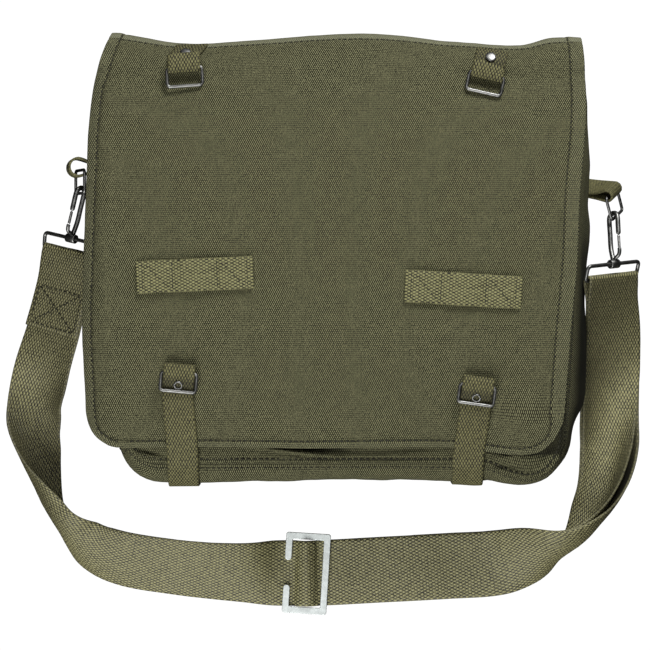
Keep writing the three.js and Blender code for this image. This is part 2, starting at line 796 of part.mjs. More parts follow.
// Place on the flap at a distance up its line from the height of a tab's bar, with its way up and normal
function flapSpot(x, bar, up) {
  const line = flapLine(x);
  const start = line.findIndex((point, k) => k > flapLineSteps / 4 && point.y <= bar);
  const step = line[start].distanceTo(line[start - 1]);
  const place = clamp(start + (line[start].y - bar - up) / step, 1, flapLineSteps - 1);
  const index = Math.floor(place);
  const point = line[index].clone().lerp(line[Math.min(index + 1, flapLineSteps)], place - index);
  const way = line[index - 1].clone().sub(line[index + 1]).normalize();
  const normal = vector(1, 0, 0).cross(way).normalize();
  return { point, way, normal };
}

// Tab of webbing riveted to the flap, folded round the upper bar of a wire ring
function addTopTab({ side, x, bar, turn, lean, rivet }) {
  const angle = radians(turn);
  const lower = canvas / 2 + tabPlay + webbing / 2;
  const barRise = lower + closureTurn;
  const spotAt = (up, share) => {
    const across = share * bandWidth;
    const leant = lean * smoothstep(up, tabSquare, topTabLength);
    const aside = across * Math.cos(angle) - up * Math.sin(angle) + leant;
    return flapSpot(x + aside, bar, up * Math.cos(angle) + across * Math.sin(angle));
  };
  const seat = spotAt(0, 0);
  const axis = vector(Math.cos(angle), 0, 0).addScaledVector(seat.way, Math.sin(angle)).normalize();
  const upWay = seat.normal.clone().cross(axis);
  const hinge = seat.point.clone().addScaledVector(seat.normal, barRise);
  const lyingRow = (up, rise) => bandShares.map((share) => {
    const spot = spotAt(up, share);
    return spot.point.addScaledVector(spot.normal, rise);
  });
  const turnedRow = (up, rise) => bandShares.map((share) => hinge.clone()
    .addScaledVector(axis, share * bandWidth)
    .addScaledVector(upWay, up)
    .addScaledVector(seat.normal, rise));
  const upper = lower + webbing + gap;
  const rows = [
    ...tabUnder.map((up) => lyingRow(up, lower)),
    ...turnRound(0, 0, closureTurn, 270, 90).map(([up, rise]) => turnedRow(up, rise)),
    ...tabOver.map(({ up, slack }) => lyingRow(up, lerp(upper, barRise + closureTurn, slack))),
  ];
  addPiece(`top_tab_${side}`, sheet(rows, webbing), oliveWebbing);

  const group = placed(hinge, axis, upWay);
  const loop = wireLoop(ringInner + 2 * ringWire, ringDrop, ringCorner, ringWire);
  const ring = addPiece(`top_ring_${side}`, loop, darkNickel, group);
  ring.position.y = -ringDrop / 2 * Math.cos(ringLean);
  ring.position.z = -ringDrop / 2 * Math.sin(ringLean);
  ring.rotation.x = ringLean;

  const rivetSpot = spotAt(rivet, 0);
  const head = lower + webbing / 2 + gap;
  const rivetPoint = rivetSpot.point.addScaledVector(rivetSpot.normal, head);
  const rivetSeat = placed(rivetPoint, vector(1, 0, 0), rivetSpot.way);
  addPiece(`top_rivet_${side}`, domedHead(rivetRadius), darkNickel, rivetSeat);
}

// Section of the strap at a place along its stations
const strapRun = strapStations.map((row, at) => ({ ...row, at }));
const strapLast = strapRun.length - 1;

function strapSection(at) {
  const read = (column, place) => sample(strapRun, 'at', column, place);
  const ahead = Math.min(at + strapReach, strapLast);
  const behind = Math.max(at - strapReach, 0);
  const way = vector(read('x', ahead) - read('x', behind), read('y', ahead) - read('y', behind), 0);
  way.normalize();
  const right = vector(way.y, -way.x, 0);
  const twist = radians(read('twist', at));
  const curl = Math.max(radians(read('curl', at)), straightCurl);
  const radius = strapWidth / curl;
  const chord = right.clone().multiplyScalar(Math.cos(twist)).setZ(Math.sin(twist));
  const belly = right.clone().multiplyScalar(Math.sin(twist)).setZ(-Math.cos(twist));
  const spot = (share) => {
    const turn = curl * share;
    const normal = chord.clone().multiplyScalar(Math.sin(turn)).addScaledVector(belly, Math.cos(turn));
    const point = chord.clone().multiplyScalar(radius * Math.sin(turn));
    point.addScaledVector(belly, radius * (Math.cos(turn) - Math.cos(curl / 2)));
    return { point, normal };
  };
  const lowest = Math.min(...seatShares.map((share) => spot(share).point.z));
  const centre = vector(read('x', at), read('y', at), read('lift', at) + webbing / 2 + gap - lowest);
  return { centre, chord, spot };
}

// Half the distance between the two layers where the strap is doubled, or none
function strapSpread(at) {
  const leftPair = layerOffset * (1 - smoothstep(at, overlapEnd, overlapEnd + 1));
  const rightPair = layerOffset * smoothstep(at, returnEnd - 1, returnEnd);
  const opening = (1 - smoothstep(at, 0, 1)) + smoothstep(at, strapLast - 1, strapLast);
  return leftPair + rightPair + (wrapRadius - layerOffset) * opening;
}

function strapRow(at, layer) {
  const section = strapSection(at);
  const shift = strapSpread(at) * layer;
  const row = { points: [], normals: [] };
  for (const share of strapColumns) {
    const { point, normal } = section.spot(share);
    row.points.push(point.add(section.centre).addScaledVector(normal, shift));
    row.normals.push(normal.multiplyScalar(layer));
  }
  return row;
}

// End of the strap: the bar it folds round and the way out past the bar
function strapEnd(at, inside) {
  const section = strapSection(at);
  const way = section.centre.clone().sub(strapSection(inside).centre);
  way.addScaledVector(section.chord, -way.dot(section.chord)).normalize();
  return { centre: section.centre, chord: section.chord, way, normal: section.spot(0).normal };
}

function wrapRows(end, from) {
  const rows = [];
  for (let step = 1; step < wrapTurns; step += 1) {
    const angle = radians(from * (90 - 180 * step / wrapTurns));
    const normal = end.normal.clone().multiplyScalar(Math.sin(angle));
    normal.addScaledVector(end.way, Math.cos(angle));
    const points = strapColumns.map((share) => end.centre.clone()
      .addScaledVector(end.chord, share * strapWidth).addScaledVector(normal, wrapRadius));
    rows.push({ points, normals: points.map(() => normal) });
  }
  return rows;
}

function steps(from, to) {
  const count = Math.round(Math.abs(to - from) * strapSubsteps);
  return Array.from({ length: count + 1 }, (_, step) => lerp(from, to, step / count));
}

function addStrap() {
  const leftEnd = strapEnd(0, strapReach);
  const rightEnd = strapEnd(strapLast, strapLast - strapReach);
  const rows = [
    ...steps(overlapEnd, 0).map((at) => strapRow(at, -1)),
    ...wrapRows(leftEnd, -1),
    ...steps(0, strapLast).map((at) => strapRow(at, 1)),
    ...wrapRows(rightEnd, 1),
    ...steps(strapLast, returnEnd).map((at) => strapRow(at, -1)),
  ];
  const points = rows.map((row) => row.points);
  const normals = rows.map((row) => row.normals);
  addPiece('shoulder_strap', sheet(points, webbing, normals), oliveWebbing);
  return { left: leftEnd, right: rightEnd };
}

// Side loop of webbing on the gusset, and the wire link that hangs in it
function addSideLoop(fitting) {
  const { side, base, loop, belly, barAlong, barFall, linkSlide } = fitting;
  const root = new THREE.Vector3(...base);
  const [rootWay, outWay, widthWay] = [fitting.root, fitting.out, fitting.width].map(toVector);
  outWay.addScaledVector(widthWay, -outWay.dot(widthWay)).normalize();
  const sideWay = widthWay.clone().cross(outWay);
  const centre = loop - belly;
  const arc = turnRound(centre, 0, belly, loopTurn, -loopTurn, loopSteps);
  const waist = [centre * loopWaist, belly / 2];
  const line = [[0, loopRoot], waist, ...arc, [waist[0], -waist[1]], [0, -loopRoot]];
  const rows = line.map(([along, aside]) => {
    const across = rootWay.clone().lerp(widthWay, smoothstep(along, 0, centre)).normalize();
    return bandShares.map((share) => root.clone().addScaledVector(outWay, along)
      .addScaledVector(sideWay, aside).addScaledVector(across, share * loopWidth));
  });
  addPiece(`side_loop_${side}`, sheet(rows, webbing), oliveWebbing);

  const [barWay, fall] = [fitting.linkWay, fitting.linkFall].map(toVector);
  fall.addScaledVector(barWay, -fall.dot(barWay)).normalize();
  const bar = root.clone().addScaledVector(outWay, barAlong).addScaledVector(fall, barFall);
  const middle = bar.clone().addScaledVector(fall, linkPitch / 2);
  const group = placed(middle, barWay, fall.clone().negate());
  const link = wireLoop(linkInner + 2 * linkWire, linkPitch, ringCorner, linkWire);
  addPiece(`side_link_${side}`, link, darkNickel, group);
  return bar.addScaledVector(fall, linkPitch).addScaledVector(barWay, linkSlide);
}

// Barrel round a bar along a direction
function barrel(axis) {
  const inner = frameWire + barrelPlay;
  const outer = inner + barrelWall;
  const half = barrelLength / 2;
  const profile = [[inner, -half], [outer, -half], [outer, half], [inner, half], [inner, -half]];
  const ring = new THREE.LatheGeometry(profile.map(([r, h]) => new THREE.Vector2(r, h)), headSides);
  const turn = new THREE.Quaternion().setFromUnitVectors(vector(0, 1, 0), axis);
  return ring.applyQuaternion(turn);
}

// Strap frame: a wire rectangle whose lower bar is in the fold of the strap
function addFrame(side, end) {
  const middle = end.centre.clone().addScaledVector(end.way, framePitch / 2);
  const group = placed(middle, end.chord.clone(), end.way.clone());
  const frame = wireLoop(frameInner + 2 * frameWire, framePitch, frameCorner, frameWire);
  addPiece(`strap_frame_${side}`, frame, darkNickel, group);
}

// Snap hook between the strap frame's upper bar and the side link, and its sprung gate.
// Its y axis runs from the frame's bar to the middle of the bend, its nose is on the side of -x.
function addHook({ side, noseWay }, end, heldBar) {
  const hub = end.centre.clone().addScaledVector(end.way, framePitch);
  const bendSide = hookStem - hookBend;
  const span = heldBar.clone().sub(hub);
  const crest = hookBend - hookWire - hookPlay - linkWire;
  const reach = Math.sqrt(span.lengthSq() - bendSide ** 2) - crest;
  const lean = Math.atan2(bendSide, reach);
  const along = span.clone().normalize();
  const nose = toVector(noseWay);
  nose.addScaledVector(along, -nose.dot(along)).normalize();
  const yAxis = along.multiplyScalar(Math.cos(lean)).addScaledVector(nose, Math.sin(lean));
  const xAxis = nose.negate().addScaledVector(yAxis, -nose.dot(yAxis)).normalize();
  const group = placed(hub, xAxis, yAxis);

  const tip = bendSide - hookBend;
  const stem = stemLine.map(({ x, y }) => vector(x, y, 0));
  const bend = bendAngles.map((degrees) => {
    const angle = radians(degrees);
    return vector(bendSide + hookBend * Math.cos(angle), reach + hookBend * Math.sin(angle), 0);
  });
  const wire = wireAlong([...stem, ...bend, vector(tip, noseEnd, 0)], hookWire, hookSteps);
  const armPoints = [
    vector(0, armRoot, 0),
    vector(armElbow.x, armElbow.y, 0),
    vector(tip, gateFoot - armEnd, 0),
    vector(tip, gateFoot, 0),
  ];
  const arm = wireAlong(armPoints, armWire, armSteps);
  const axis = end.chord.clone().applyQuaternion(group.quaternion.clone().invert());
  addPiece(`hook_${side}`, join(barrel(axis), wire, arm), darkNickel, group);

  const gateLength = noseEnd - gateFoot - 2 * gatePlay;
  const gate = new THREE.CylinderGeometry(gateRadius, gateRadius, gateLength, gateSides);
  const mesh = addPiece(`hook_gate_${side}`, gate, aluminium, group);
  mesh.position.set(tip, gateFoot + gatePlay + gateLength / 2, 0);
}

// Flat C-shaped slider
function addSlider() {
  const { width, height, bar, mouth } = slider;
  const right = width / 2;
  const top = height / 2;
  const round = bar / 2;
  const shape = new THREE.Shape();
  shape.moveTo(-right + bar, mouth / 2 + round);
  shape.absarc(-right + round, mouth / 2 + round, round, 0, -Math.PI, true);
  shape.lineTo(-right, top - sliderCorner);
  shape.absarc(-right + sliderCorner, top - sliderCorner, sliderCorner, Math.PI, Math.PI / 2, true);
  shape.absarc(right - sliderCorner, top - sliderCorner, sliderCorner, Math.PI / 2, 0, true);
  shape.absarc(right - sliderCorner, sliderCorner - top, sliderCorner, 0, -Math.PI / 2, true);
  shape.absarc(sliderCorner - right, sliderCorner - top, sliderCorner, -Math.PI / 2, -Math.PI, true);
  shape.lineTo(-right, -mouth / 2 - round);
  shape.absarc(-right + round, -mouth / 2 - round, round, Math.PI, 0, true);
  shape.lineTo(bar - right, bar - top);
  shape.lineTo(right - bar, bar - top);
  shape.lineTo(right - bar, top - bar);
  shape.lineTo(bar - right, top - bar);
  const settings = { depth: slider.thick, bevelEnabled: false, curveSegments: sliderSegments };
  const geometry = new THREE.ExtrudeGeometry(shape, settings);
  const mesh = addPiece('slider', geometry, aluminium);
  mesh.position.set(slider.x, slider.y, sliderSeat);
  mesh.rotation.z = radians(slider.turn);
}

addPanels();
addGusset();
addFlap();
closures.forEach(addClosure);
keepers.forEach(addKeeper);
topTabs.forEach(addTopTab);
const strapEnds = addStrap();
for (const fitting of sideFittings) {
  const end = strapEnds[fitting.side];
  addFrame(fitting.side, end);
  addHook(fitting, end, addSideLoop(fitting));
}
addSlider();

export default bag;
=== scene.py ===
import math

import bmesh
import bpy
from mathutils import Matrix, Vector, kdtree, noise


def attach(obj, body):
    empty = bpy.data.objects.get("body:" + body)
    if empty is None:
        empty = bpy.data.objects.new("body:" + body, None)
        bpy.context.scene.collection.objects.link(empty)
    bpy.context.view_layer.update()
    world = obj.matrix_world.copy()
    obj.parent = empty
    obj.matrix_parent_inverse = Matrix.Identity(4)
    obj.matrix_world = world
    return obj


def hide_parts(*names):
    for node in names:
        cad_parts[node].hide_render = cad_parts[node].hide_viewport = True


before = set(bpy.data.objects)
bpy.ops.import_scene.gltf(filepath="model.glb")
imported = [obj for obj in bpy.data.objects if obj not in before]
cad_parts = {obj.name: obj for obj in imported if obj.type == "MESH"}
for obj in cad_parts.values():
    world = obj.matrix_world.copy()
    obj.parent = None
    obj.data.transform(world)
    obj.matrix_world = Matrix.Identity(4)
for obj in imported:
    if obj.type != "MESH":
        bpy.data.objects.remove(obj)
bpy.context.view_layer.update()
mm = 0.001  # the shapes are worked out in millimetres

# view from straight above, and the soft white studio, in metres
viewSet = {"height": 2.4, "field": 0.507}
lightSet = {
    "dome": 0.02,
    "softbox": {"power": 7.0, "size": 0.6, "place": (-0.1, 0.25, 2.1), "aim": (0, 0, 0)},
    "topLight": {"power": 48.0, "size": 0.7, "place": (0.55, 1.7, 1.0), "aim": (0, 0.1, 0)},
    "lowLight": {"power": 46.0, "size": 1.3, "place": (-0.5, -1.5, 1.25), "aim": (0, -0.1, 0)},
}


def addCamera():
    lens = bpy.data.cameras.new("topView")
    lens.sensor_fit = "HORIZONTAL"
    lens.angle = 2 * math.atan(viewSet["field"] / 2 / viewSet["height"])
    item = bpy.data.objects.new("topView", lens)
    item.location = (0, 0, viewSet["height"])
    bpy.context.scene.collection.objects.link(item)
    bpy.context.scene.camera = item


addCamera()
print("camera in place")


# small helpers
def clamp(value, low, high):
    return min(max(value, low), high)


def ease(value, low, high):  # 0 below low, 1 above high
    t = clamp((value - low) / (high - low), 0, 1)
    return t * t * (3 - 2 * t)


def within(value, rise, fall):  # 0, up to 1 over the first range and back to 0 over the second
    return ease(value, *rise) * (1 - ease(value, *fall))


def between(a, b, t):
    return a + (b - a) * t


def bump(distance, width):  # soft ridge round zero
    return math.exp(-((distance / width) ** 2))


def ridge(size, distance):  # size: height and width
    return size[0] * bump(distance, size[1])


def table(names, *rows):
    return {name: [row[k] for row in rows] for k, name in enumerate(names.split())}


def sample(rows, key, column, place):  # smooth value of a column at a place on its key column
    keys, values = rows[key], rows[column]
    last = len(keys) - 1
    at = clamp(place, keys[0], keys[last])
    k = 0
    while k < last - 1 and keys[k + 1] < at:
        k += 1

    def slope(row):
        low, high = max(row - 1, 0), min(row + 1, last)
        return (values[high] - values[low]) / (keys[high] - keys[low])

    span = keys[k + 1] - keys[k]
    t = (at - keys[k]) / span
    bend = t * (1 - t) * span * ((1 - t) * slope(k) - t * slope(k + 1))
    return values[k] + (values[k + 1] - values[k]) * t * t * (3 - 2 * t) + bend


def splineAt(points, at):  # smooth curve through points, at a place counted in points
    last = len(points) - 1
    k = min(int(at), last - 1)
    t = at - k
    p0, p1, p2, p3 = points[max(k - 1, 0)], points[k], points[k + 1], points[min(k + 2, last)]
    curve = (2 * p0 - 5 * p1 + 4 * p2 - p3) * (t * t) + (3 * p1 - p0 - 3 * p2 + p3) * t ** 3
    return 0.5 * (2 * p1 + (p2 - p0) * t + curve)


def fineSteps(points, step):  # places along a line of points, about a step apart
    places = []
    for k in range(len(points) - 1):
        count = max(1, round((points[k + 1] - points[k]).length / step))
        places += [k + j / count for j in range(count)]
    return places + [len(points) - 1]


def unevenness(x, y, size, seed=0.0):
    return noise.noise(Vector((x / size, y / size, seed)))


def uneven(layers, x, y):  # layers: height, size and seed
    return sum(height * unevenness(x, y, size, seed) for height, size, seed in layers)


def foldHeight(folds, x, y):
    height = 0.0
    for fx, fy, heading, along, across, rise in zip(*folds.values()):
        turn = math.radians(heading)
        a = (x - fx) * math.cos(turn) + (y - fy) * math.sin(turn)
        b = (y - fy) * math.cos(turn) - (x - fx) * math.sin(turn)
        height += rise * math.exp(-((a / along) ** 2) - (b / across) ** 2)
    return height


def edgeFinder(points):
    finder = kdtree.KDTree(len(points))
    for k, point in enumerate(points):
        finder.insert(point, k)
    finder.balance()
    return finder


# shader expressions: a signal is a socket that Python can calculate with
class Signal:
    def __init__(self, board, socket):
        self.board = board
        self.socket = socket

    def __add__(self, other):
        return self.board.maths("ADD", self, other)

    def __radd__(self, other):
        return self.board.maths("ADD", other, self)

    def __sub__(self, other):
        return self.board.maths("SUBTRACT", self, other)

    def __rsub__(self, other):
        return self.board.maths("SUBTRACT", other, self)

    def __mul__(self, other):
        return self.board.maths("MULTIPLY", self, other)

    def __rmul__(self, other):
        return self.board.maths("MULTIPLY", other, self)


class Board:
    def __init__(self, name):
        self.material = bpy.data.materials.new(name)
        self.material.use_nodes = True
        self.tree = self.material.node_tree
        self.tree.nodes.clear()

    def node(self, kind, settings=None, values=None, out=0):
        item = self.tree.nodes.new("ShaderNode" + kind)
        for key, value in (settings or {}).items():
            if key == "stops":
                while len(item.color_ramp.elements) < len(value):
                    item.color_ramp.elements.new(0.5)
                for stop, (place, colour) in zip(item.color_ramp.elements, value):
                    stop.position = place
                    stop.color = colour
            else:
                setattr(item, key, value)
        for key, value in (values or {}).items():
            if isinstance(value, Signal):
                self.tree.links.new(value.socket, item.inputs[key])
            else:
                item.inputs[key].default_value = value
        return Signal(self, item.outputs[out])

    def maths(self, operation, a, b=0.0):
        return self.node("Math", {"operation": operation}, {0: a, 1: b})

    def mix(self, factor, a, b):
        return self.node("Mix", {"data_type": "RGBA"}, {0: factor, 6: a, 7: b}, out=2)

    def finish(self, values):
        shader = self.node("BsdfPrincipled", None, values)
        output = self.tree.nodes.new("ShaderNodeOutputMaterial")
        self.tree.links.new(shader.socket, output.inputs["Surface"])
        return self.material


# woven cloth: the weave attribute gives millimetres across and along the cloth
# in each look, dark is also the colour of painted shade, and the pale tone is mixed in as painted light and
# for a paler hem edge
canvasLook = {
    "dark": (0.004, 0.004, 0.001, 1), "light": (0.182, 0.178, 0.094, 1), "low": 0.36, "high": 0.69,
    "paleTone": (0.27, 0.275, 0.19, 1), "pitch": 1.53, "row": 1.52,
    "relief": 0.6, "roughness": 0.93, "gloss": 0.2,
}
strapLook = {
    "dark": (0.006, 0.005, 0.001, 1), "light": (0.31, 0.292, 0.137, 1), "low": 0.2, "high": 0.82,
    "paleTone": (0.4, 0.385, 0.23, 1), "pitch": 2.5, "row": 2.35,
    "relief": 0.9, "roughness": 0.6, "gloss": 0.5,
}
bandLook = {
    "dark": (0.005, 0.004, 0.001, 1), "light": (0.18, 0.17, 0.072, 1), "low": 0.2, "high": 0.82,
    "paleTone": (0.3, 0.29, 0.17, 1), "pitch": 2.35, "row": 2.1,
    "relief": 0.9, "roughness": 0.75, "gloss": 0.3,
}
# the keepers are the narrow webbing in a lighter colour: painted light for their flat tops
litKeeperLook = dict(bandLook, light=(0.265, 0.256, 0.118, 1))

# how the yarn wanders and stands up, the same in every cloth
yarnSet = {
    "slubScale": 1.1, "driftScale": 0.12, "rowWander": 0.7, "dotWander": 0.8, "depth": 0.0005,
    "dotHeight": 0.42, "rowHeight": 0.2, "rowMean": 0.64, "slubFleck": 0.5, "driftFleck": 0.14,
}


def wovenMaterial(name, look):
    # dots of thread in rows, each row half a step from the next, with uneven yarn
    board = Board(name)
    place = board.node("Attribute", {"attribute_name": "weave"}, None, out=1)
    across = board.node("SeparateXYZ", None, {0: place})
    along = board.node("SeparateXYZ", None, {0: place}, out=1)

    def wander(scale, detail):
        values = {"Vector": place, "Scale": scale, "Detail": detail}
        return board.node("TexNoise", {"noise_dimensions": "2D"}, values) - 0.5

    slub = wander(yarnSet["slubScale"] / look["pitch"], 2.0)
    drift = wander(yarnSet["driftScale"], 3.0)
    row = board.maths("SINE", along * (math.pi / look["row"]) + slub * yarnSet["rowWander"])
    dots = board.maths("SINE", across * (2 * math.pi / look["pitch"]) + slub * yarnSet["dotWander"])
    crest = board.maths("ABSOLUTE", row) - yarnSet["rowMean"]
    height = 0.5 + row * dots * yarnSet["dotHeight"] + crest * yarnSet["rowHeight"]
    fleck = height + slub * yarnSet["slubFleck"] + drift * yarnSet["driftFleck"]
    stops = [(look["low"], look["dark"]), (look["high"], look["light"])]
    thread = board.node("ValToRGB", {"stops": stops}, {0: fleck})
    # the shade attribute paints shade above zero, darkening creases, gaps and shaded sides towards the dark
    # colour; below zero it lightens towards the pale colour, as painted light on the flap's fold and the
    # gusset's bottom, and paler at the flap's hem edge
    shade = board.node("Attribute", {"attribute_name": "shade"}, None, out=2)
    dusky = board.mix(board.maths("MAXIMUM", shade, 0.0), thread, look["dark"])
    colour = board.mix(board.maths("MAXIMUM", shade * -1.0, 0.0), dusky, look["paleTone"])
    relief = {"Height": height, "Strength": look["relief"], "Distance": yarnSet["depth"]}
    return board.finish({
        "Base Color": colour, "Normal": board.node("Bump", None, relief),
        "Roughness": look["roughness"], "Specular IOR Level": look["gloss"]})


# the thread is darkened well below olive, so that its colour partly stands in for painted shade in the sunk
# stitch lines
threadAndShadeLook = {
    "dark": (0.008, 0.008, 0.003, 1), "light": (0.024, 0.023, 0.01, 1), "twist": 900.0, "roughness": 0.85,
}
metalLooks = {
    "darkNickel": {
        "dark": (0.13, 0.13, 0.125, 1), "light": (0.24, 0.24, 0.23, 1),
        "smooth": 0.34, "rough": 0.48, "grain": 260.0},
    "polishedNickel": {
        "dark": (0.45, 0.445, 0.43, 1), "light": (0.62, 0.61, 0.59, 1),
        "smooth": 0.25, "rough": 0.36, "grain": 200.0},
    "satinAluminium": {
        "dark": (0.6, 0.635, 0.625, 1), "light": (0.78, 0.82, 0.81, 1),
        "smooth": 0.6, "rough": 0.7, "grain": 320.0},
}
noiseStops = (0.3, 0.75)  # where noise turns from a look's dark colour to its light one
metalRelief = {"Strength": 0.08, "Distance": 0.0002}


def mottled(board, look, scale, detail):  # noise on the piece, and the look's colours over it
    place = board.node("TexCoord", None, None, out=3)
    spots = board.node("TexNoise", None, {"Vector": place, "Scale": scale, "Detail": detail})
    stops = list(zip(noiseStops, (look["dark"], look["light"])))
    return spots, board.node("ValToRGB", {"stops": stops}, {0: spots})


def threadMaterial():
    board = Board("oliveThread")
    _, colour = mottled(board, threadAndShadeLook, threadAndShadeLook["twist"], 1.0)
    return board.finish({"Base Color": colour, "Roughness": threadAndShadeLook["roughness"]})


def metalMaterial(name):
    board = Board(name)
    look = metalLooks[name]
    paleness, colour = mottled(board, look, look["grain"], 4.0)
    normal = board.node("Bump", None, {"Height": paleness, **metalRelief})
    rough = look["smooth"] + paleness * (look["rough"] - look["smooth"])
    return board.finish({"Base Color": colour, "Roughness": rough, "Normal": normal, "Metallic": 1.0})


canvasCloth = wovenMaterial("oliveCanvas", canvasLook)
strapCloth = wovenMaterial("wideWebbing", strapLook)
bandCloth = wovenMaterial("narrowWebbing", bandLook)
litKeeperCloth = wovenMaterial("keeperWebbing", litKeeperLook)
sewingThread = threadMaterial()
darkNickel, polishedNickel, satinAluminium = (metalMaterial(name) for name in metalLooks)
print("materials made")


# meshes
def faceOutwards(mesh):
    solid = bmesh.new()
    solid.from_mesh(mesh)
    if solid.calc_volume(signed=True) < 0:
        bmesh.ops.reverse_faces(solid, faces=solid.faces)
        solid.to_mesh(mesh)
    solid.free()


def makePiece(name, points, faces, material, slot, nodes=(), body="bag",
              weave=None, shade=None, flatFaces=()):
    mesh = bpy.data.meshes.new(name)
    mesh.from_pydata([point * mm for point in points], [], faces)
    mesh.polygons.foreach_set("use_smooth", [True] * len(mesh.polygons))
    for k in flatFaces:
        mesh.polygons[k].use_smooth = False
    if weave:
        places = mesh.attributes.new("weave", "FLOAT_VECTOR", "POINT")
        places.data.foreach_set("vector", [c for u, v in weave for c in (u, v, 0.0)])
    if shade:
        dusk = mesh.attributes.new("shade", "FLOAT", "POINT")
        dusk.data.foreach_set("value", shade)
    mesh.materials.append(material)
    faceOutwards(mesh)
    mesh.update()
    item = bpy.data.objects.new(name, mesh)
    bpy.context.scene.collection.objects.link(item)
    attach(item, body)
    if nodes:
        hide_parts(*nodes)
    return item


def ringOf(centre, a, b, radius, sides):  # circle of points in the plane of two directions
    turns = [2 * math.pi * k / sides for k in range(sides)]
    return [centre + (a * math.cos(turn) + b * math.sin(turn)) * radius for turn in turns]


def tubeParts(rings, looped=False):  # skin over rings; flat ends unless the last meets the first
    count, sides = len(rings), len(rings[0])
    faces = []
    for i in range(count if looped else count - 1):
        low, high = i * sides, (i + 1) % count * sides
        for k in range(sides):
            after = (k + 1) % sides
            faces.append((low + k, low + after, high + after, high + k))
    if not looped:
        faces.append(tuple(range(sides - 1, -1, -1)))
        faces.append(tuple(range((count - 1) * sides, count * sides)))
    return [point for ring in rings for point in ring], faces


def joinParts(parts):
    points, faces = [], []
    for made, shapes in parts:
        first = len(points)
        points += made
        faces += [tuple(first + k for k in shape) for shape in shapes]
    return points, faces


def gridNormals(rows):
    high, wide = len(rows), len(rows[0])
    normals = []
    for i in range(high):
        line = []
        for j in range(wide):
            along = rows[min(i + 1, high - 1)][j] - rows[max(i - 1, 0)][j]
            across = rows[i][min(j + 1, wide - 1)] - rows[i][max(j - 1, 0)]
            line.append(across.cross(along).normalized())
        normals.append(line)
    return normals


def outsideNormals(rows):  # for a grid whose rows run so that its first side faces in
    return [[-normal for normal in line] for line in gridNormals(rows)]


def rimOf(high, wide):  # grid places round the edge, in order
    rim = [(0, j) for j in range(wide - 1)]
    rim += [(i, wide - 1) for i in range(high - 1)]
    rim += [(high - 1, j) for j in range(wide - 1, 0, -1)]
    return rim + [(i, 0) for i in range(high - 1, 0, -1)]


edgeRound = 0.35  # how far a sheet's edge swells out, in thicknesses


def makeSheet(name, rows, weave, thickness, material, slot, nodes, normals=None, shade=None):
    # closed sheet of cloth with a rounded edge, thickened both ways from its middle surface
    high, wide = len(rows), len(rows[0])
    normals = normals or gridNormals(rows)
    shade = shade or [[0.0] * wide for _ in rows]
    points, places, dusk = [], [], []
    for side in (0.5, -0.5):
        for i in range(high):
            for j in range(wide):
                points.append(rows[i][j] + normals[i][j] * (side * thickness))
                places.append(weave[i][j])
                dusk.append(shade[i][j])
    under = high * wide
    faces = []
    for i in range(high - 1):
        for j in range(wide - 1):
            a = i * wide + j
            faces.append((a, a + 1, a + wide + 1, a + wide))
            faces.append((under + a, under + a + wide, under + a + wide + 1, under + a + 1))
    rim = rimOf(high, wide)
    first = len(points)
    for i, j in rim:
        inner = rows[clamp(i, 1, high - 2)][clamp(j, 1, wide - 2)]
        out = (rows[i][j] - inner).normalized()
        points.append(rows[i][j] + out * (edgeRound * thickness))
        places.append(weave[i][j])
        dusk.append(shade[i][j])
    for k, (i, j) in enumerate(rim):
        nextSpot = (k + 1) % len(rim)
        a, b = i * wide + j, rim[nextSpot][0] * wide + rim[nextSpot][1]
        faces.append((a, first + k, first + nextSpot, b))
        faces.append((first + k, under + a, under + b, first + nextSpot))
    return makePiece(name, points, faces, material, slot, nodes, weave=places, shade=dusk)


def runLengths(rows, column):  # distance along the rows at one column
    total, lengths = 0.0, [0.0]
    for k in range(1, len(rows)):
        total += (rows[k][column] - rows[k - 1][column]).length
        lengths.append(total)
    return lengths


stitchSet = {
    "length": 2.6, "space": 1.1, "radius": 0.5, "sides": 6, "sink": 0.9, "walk": 0.45,
    "shape": [(0.0, 0.3), (0.2, 1.0), (0.8, 1.0), (1.0, 0.3)],  # share of the length, share of the radius
}


def stitchParts(start, end, up):
    side = (end - start).normalized().cross(up).normalized()
    radius = stitchSet["radius"]
    rings = []
    for share, size in stitchSet["shape"]:
        centre = start.lerp(end, share) + up * (radius * (size - stitchSet["sink"]))
        rings.append(ringOf(centre, side, up, radius * size, stitchSet["sides"]))
    return tubeParts(rings)


def sewLine(spots):  # spots: places on the cloth with their normals, in order
    path = []
    for (here, normal), (there, _) in zip(spots, spots[1:]):
        count = max(1, int((there - here).length / stitchSet["walk"]))
        path += [(here.lerp(there, j / count), normal) for j in range(count)]
    parts, carried, start = [], 0.0, None
    for (before, _), (point, normal) in zip(path, path[1:]):
        carried += (point - before).length
        if start is None and carried >= stitchSet["space"]:
            start, carried = (point, normal), 0.0
        elif start is not None and carried >= stitchSet["length"]:
            parts.append(stitchParts(start[0], point, start[1]))
            start, carried = None, 0.0
    return parts


def sewPiece(name, lines, slot="canvas"):
    parts = [part for spots in lines for part in sewLine(spots)]
    return makePiece(name, *joinParts(parts), sewingThread, slot)


